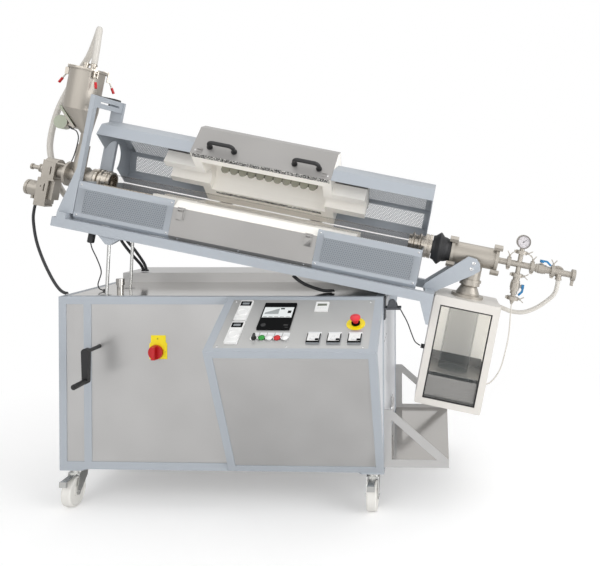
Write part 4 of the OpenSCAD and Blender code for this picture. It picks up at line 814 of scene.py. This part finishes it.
meterLabels = bmesh.new()
for across in meters["across"]:
    slab(meterLabels, (across, 106, -0.2), (across + 52, 116, 0.9), 0.2)
keep("meter_labels", meterLabels, fasciaAxes, greyLabel, "cabinet")

# Domed caps of the push buttons
dome = [(0, 6.4), (4, 6.0), (8, 4.7), (11.4, 2.6), (13.2, 0.6), (13.2, 0.2), (9, 0.2)]
bezelFace = 8.2
for body, across, material, slotName in (
        ("green_button", buttons["across"][1], greenAbs, "green_plastic"),
        ("white_button_left", buttons["across"][2], whiteAbs, "white_plastic"),
        ("red_button", buttons["across"][3], redAbs, "red_plastic"),
        ("white_button_right", buttons["across"][4], whiteAbs, "white_plastic")):
    cap = bmesh.new()
    turned(cap, dome, shift(across, buttons["up"], bezelFace))
    keep(body + "_cap", cap, fasciaAxes, material, body)

# Screws: the axes that each set stands on, its body, its places across and up, and the radius of its heads
sideWallAxes = cabinetAxes @ shift(cabinet["width"] - 3, 0, 0) @ turn(math.pi / 2, "Z") @ upright
coverScrews = [(along, up) for up in (6, 138) for along in (-1410, -1010, -356, 68)]
screws = {
    "fascia_screws": (fasciaAxes, "cabinet", [(46, 28), (312, 28), (600, 28), (46, 306), (604, 306)], 4),
    "side_wall_screws": (sideWallAxes, "cabinet", [(38 + 44 * i, 688 + 6 * i) for i in range(4)], 4),
    "housing_screws": (machineAxes @ shift(0, 53.5, 78.5) @ turn(3 * quarter, "X"), "furnace",
                       [(-960, 0), (-690, 0), (-404, 0)], 5),
    "arm_bolts": (machineAxes @ shift(0, 163, 0) @ upright, "furnace",
                  [(306, 190), (312, 216)], 8),
    "lid_screws": (openAxes @ shift(0, 45, 258) @ upright, "lid", [(-980, 0), (-386, 0)], 4),
    "cover_screws": (machineAxes @ shift(0, 47, 88) @ upright, "furnace", coverScrews, 4),
}
for name, (axes, body, places, radius) in screws.items():
    head = [(radius * 0.2, 1.2), (radius * 0.3, 2.0), (radius * 0.7, 1.8), (radius, 0.8), (radius, -0.5)]
    heads = bmesh.new()
    for x, y in places:
        turned(heads, head, shift(x, y, 0), 16)
    keep(name, heads, axes, chromeTrim, body)

# Main switch: position marks on its plate, which stands back from the cabinet's front plane
switchPlate = {"off": (426, 716), "on": (458, 661), "face": -1}
marks = bmesh.new()
letters(marks, "0", 11, shift(*switchPlate["off"], 0.2))
letters(marks, "1", 9, shift(*switchPlate["on"], 0.2))
plateAxes = frontAxes @ shift(0, 0, switchPlate["face"])
keep("switch_marks", marks, plateAxes, blackInk, "cabinet")

# Pressure gauge: ticks, numbers and needle on its dial
dial = bmesh.new()
for i in range(21):
    angle = math.radians(225 - 13.5 * i)
    slab(dial, (gauge["radius"] - (4 if i % 5 == 0 else 2.4), -0.3, 0), (gauge["radius"], 0.3, 0.2),
         place=turn(angle, "Z"))
    if i % 5 == 0:
        letters(dial, str(i // 5), 6, shift(17 * math.cos(angle), 17 * math.sin(angle), 0.1))
slab(dial, (-6, -0.6, 0.8), (18, 0.6, 1.2), 0.2, turn(math.radians(48), "Z"))
turned(dial, [(0, 2), (2, 1.8), (2.5, 0)], shift(0, 0, 0), 16)
dialAxes = machineAxes @ shift(gauge["along"], gauge["face"], gauge["up"]) @ upright
keep("gauge_dial", dial, dialAxes, blackInk, "furnace")

# Seal round the collecting box's window
window = {"left": 202, "right": 431, "low": -388, "high": 20, "face": 111, "width": 6, "thickness": 2.2}
left, right, low, high = (window[side] for side in ("left", "right", "low", "high"))
bars = (((left, low), (left + window["width"], high)), ((right - window["width"], low), (right, high)),
        ((left, low), (right, low + window["width"])), ((left, high - window["width"]), (right, high)))
seal = bmesh.new()
for corner, opposite in bars:
    slab(seal, (corner[0], window["face"], corner[1]),
         (opposite[0], window["face"] + window["thickness"], opposite[1]), 0.6)
keep("window_seal", seal, machineAxes, rubberBlack, "box_door")

# Rope seals along the lid's front and rear lips
rope = {"low": 237.5, "high": 240.6}
for name, start, end, front, rear in (
        ("lid_rope_seal", furnace["left"] + 6, furnace["right"] - 6, 47, 71),
        ("rear_rope_seal", chamber["left"] + 20, chamber["right"] - 20, 350, 364)):
    ropes = bmesh.new()
    slab(ropes, (start, front, rope["low"]), (end, rear, rope["high"]), 1)
    keep(name, ropes, openAxes, ropeSeal, "lid")

# Sheet channels over the collars of the lid, and the board below the tube at the feed end
channel = {"ends": ((-1150, -999), (-367, -216)), "front": 160, "rear": 330, "low": 300, "top": 330.4,
           "sheet": 2, "lap": 0.4}
channels = bmesh.new()
for low, high in channel["ends"]:
    slab(channels, (low, channel["front"], channel["top"]),
         (high, channel["rear"], channel["top"] + channel["sheet"]), 0.4)
    for y in (channel["front"] - channel["lap"], channel["rear"] - channel["sheet"] - channel["lap"]):
        slab(channels, (low, y, channel["low"]),
             (high, y + channel["sheet"], channel["top"] + channel["sheet"] - 0.2), 0.4)
keep("collar_channels", channels, openAxes, darkerSteel, "lid")
board = bmesh.new()
slab(board, (-1395, 150, 100), (-1155, 196, 232), 3)
keep("feed_end_board", board, machineAxes, vermiculite, "furnace")

# Gasket round the tee's cone on the box
gasket = bmesh.new()
turned(gasket, [(40, 0), (40, 3), (67, 3), (70, 1.5), (70, 0)], shift(316, tubeY, 58), 48)
keep("cone_gasket", gasket, machineAxes, rubberBlack, "furnace")

# Wire guard over the fan in the cabinet's right wall
fan = {"depth": 420, "up": 300, "rings": (14, 26, 38, 50, 62), "wire": 1.6, "rim": 66, "out": 4}
guard = bmesh.new()
for radius in fan["rings"]:
    section = [(radius + fan["wire"] * math.cos(a), fan["out"] + fan["wire"] * math.sin(a))
               for a in (math.pi * k / 4 for k in range(9))]
    turned(guard, section, shift(0, 0, 0), 48)
for k in range(4):
    slab(guard, (-fan["rim"], -fan["wire"], 0.5), (fan["rim"], fan["wire"], 3), 0.5,
         turn(math.radians(45 * k + 22), "Z"))
guardAxes = cabinetAxes @ shift(cabinet["width"], fan["depth"], fan["up"]) @ turn(math.pi / 2, "Y")
keep("fan_guard", guard, guardAxes, chromeTrim, "cabinet")

# Rubber grommets where the leads go through the ledge and the table top
grommets = {"motor": ((0, 54, 899), 13), "rearPower": ((128, 520, 945), 14),
            "frontPower": ((143, 520, 945), 14), "heater": ((1145, 128, 900), 14),
            "probe": ((114, 162, 896), 5)}
rings = bmesh.new()
for place, width in grommets.values():
    inner = width / 2
    section = [(0, -1), (0, 6), (1.5, 7), (3, 5), (5, 0), (5, -1)]
    turned(rings, [(inner + out, height) for out, height in section], shift(*place), 24)
keep("lead_grommets", rings, cabinetAxes, rubberBlack, "cabinet")

# Temperature probe's sleeve under the frame
sleeve = bmesh.new()
turned(sleeve, [(0, -18), (12, -18), (15, -15), (15, 28), (13, 30), (0, 30)], shift(-1342, 80, 0))
keep("probe_sleeve", sleeve, machineAxes, rubberBlack, "furnace")
print("details built")

# White studio: a floor that fades to the white behind it, and a sky that only mirrors show as a gradient
studio = {"floor": 30, "near": 1.4, "far": 2.7, "glow": 0.22, "ambient": 0.55, "horizon": 0.62}
floorMesh = bmesh.new()
bmesh.ops.create_grid(floorMesh, x_segments=1, y_segments=1, size=studio["floor"])
floorData = bpy.data.meshes.new("floor")
floorMesh.to_mesh(floorData)
floor = newObject("floor", floorData)
floorPaint, tree = newTree("studio_floor")
floorColour = {"Base Color": linear("#F6F6F6"), "Roughness": 0.9}
floorShader = addNode(tree, "BsdfPrincipled", floorColour).outputs[0]
place = addNode(tree, "TexCoord").outputs["Object"]
reach = addNode(tree, "VectorMath", {0: place}, operation="LENGTH").outputs["Value"]
limits = {"Value": reach, "From Min": studio["near"], "From Max": studio["far"]}
fade = addNode(tree, "MapRange", limits, interpolation_type="SMOOTHSTEP").outputs[0]
glow = addNode(tree, "Emission", {"Color": (1, 1, 1, 1), "Strength": studio["glow"]}).outputs[0]
white = addNode(tree, "Emission", {"Color": (1, 1, 1, 1), "Strength": 1.0}).outputs[0]
near = addNode(tree, "AddShader", {0: floorShader, 1: glow}).outputs[0]
lit = addNode(tree, "MixShader", {0: fade, 1: near, 2: white}).outputs[0]
byCamera = addNode(tree, "LightPath").outputs["Is Camera Ray"]
shown = addNode(tree, "MixShader", {0: byCamera, 1: floorShader, 2: lit}).outputs[0]
addNode(tree, "OutputMaterial", {"Surface": shown})
floorData.materials.append(floorPaint)

world = bpy.data.worlds.new("studio")
bpy.context.scene.world = world
world.use_nodes = True
tree = world.node_tree
tree.nodes.clear()
direction = addNode(tree, "TexCoord").outputs["Generated"]
height = addNode(tree, "SeparateXYZ", {"Vector": direction}).outputs["Z"]
band = ramp(tree, height, studio["horizon"], 1.0, -0.3, 0.7)
seen = addNode(tree, "LightPath").outputs
white, mirrored, ambient = (
    addNode(tree, "Background", {"Color": (1, 1, 1, 1), "Strength": strength}).outputs[0]
    for strength in (1.0, band, studio["ambient"]))
glossy = addNode(tree, "MixShader", {0: seen["Is Glossy Ray"], 1: ambient, 2: mirrored}).outputs[0]
through = addNode(tree, "MixShader", {0: seen["Is Transmission Ray"], 1: glossy, 2: white}).outputs[0]
backdrop = addNode(tree, "MixShader", {0: seen["Is Camera Ray"], 1: through, 2: white}).outputs[0]
addNode(tree, "OutputWorld", {"Surface": backdrop})

lamps = {
    "key": {"place": (-3.2, -6.0, 4.2), "aim": (0, 0, 0.9), "size": 5.5, "power": 108},
    "low": {"place": (0.2, -5.6, 0.9), "aim": (0, 0, 1.2), "size": 4.0, "power": 52},
    "right": {"place": (6.2, -3.0, 2.0), "aim": (0.4, 0, 0.9), "size": 5.0, "power": 290},
    "top": {"place": (0, 1.0, 6.4), "aim": (0, 0, 0.9), "size": 6.0, "power": 85},
}
for name, lamp in lamps.items():
    light = bpy.data.lights.new(name, "AREA")
    light.size = lamp["size"]
    light.energy = lamp["power"]
    stand = newObject(name, light)
    stand.location = lamp["place"]
    stand.rotation_euler = (Vector(lamp["aim"]) - Vector(lamp["place"])).to_track_quat("-Z", "Y").to_euler()

bpy.context.scene.view_settings.view_transform = "Standard"
print("studio set")
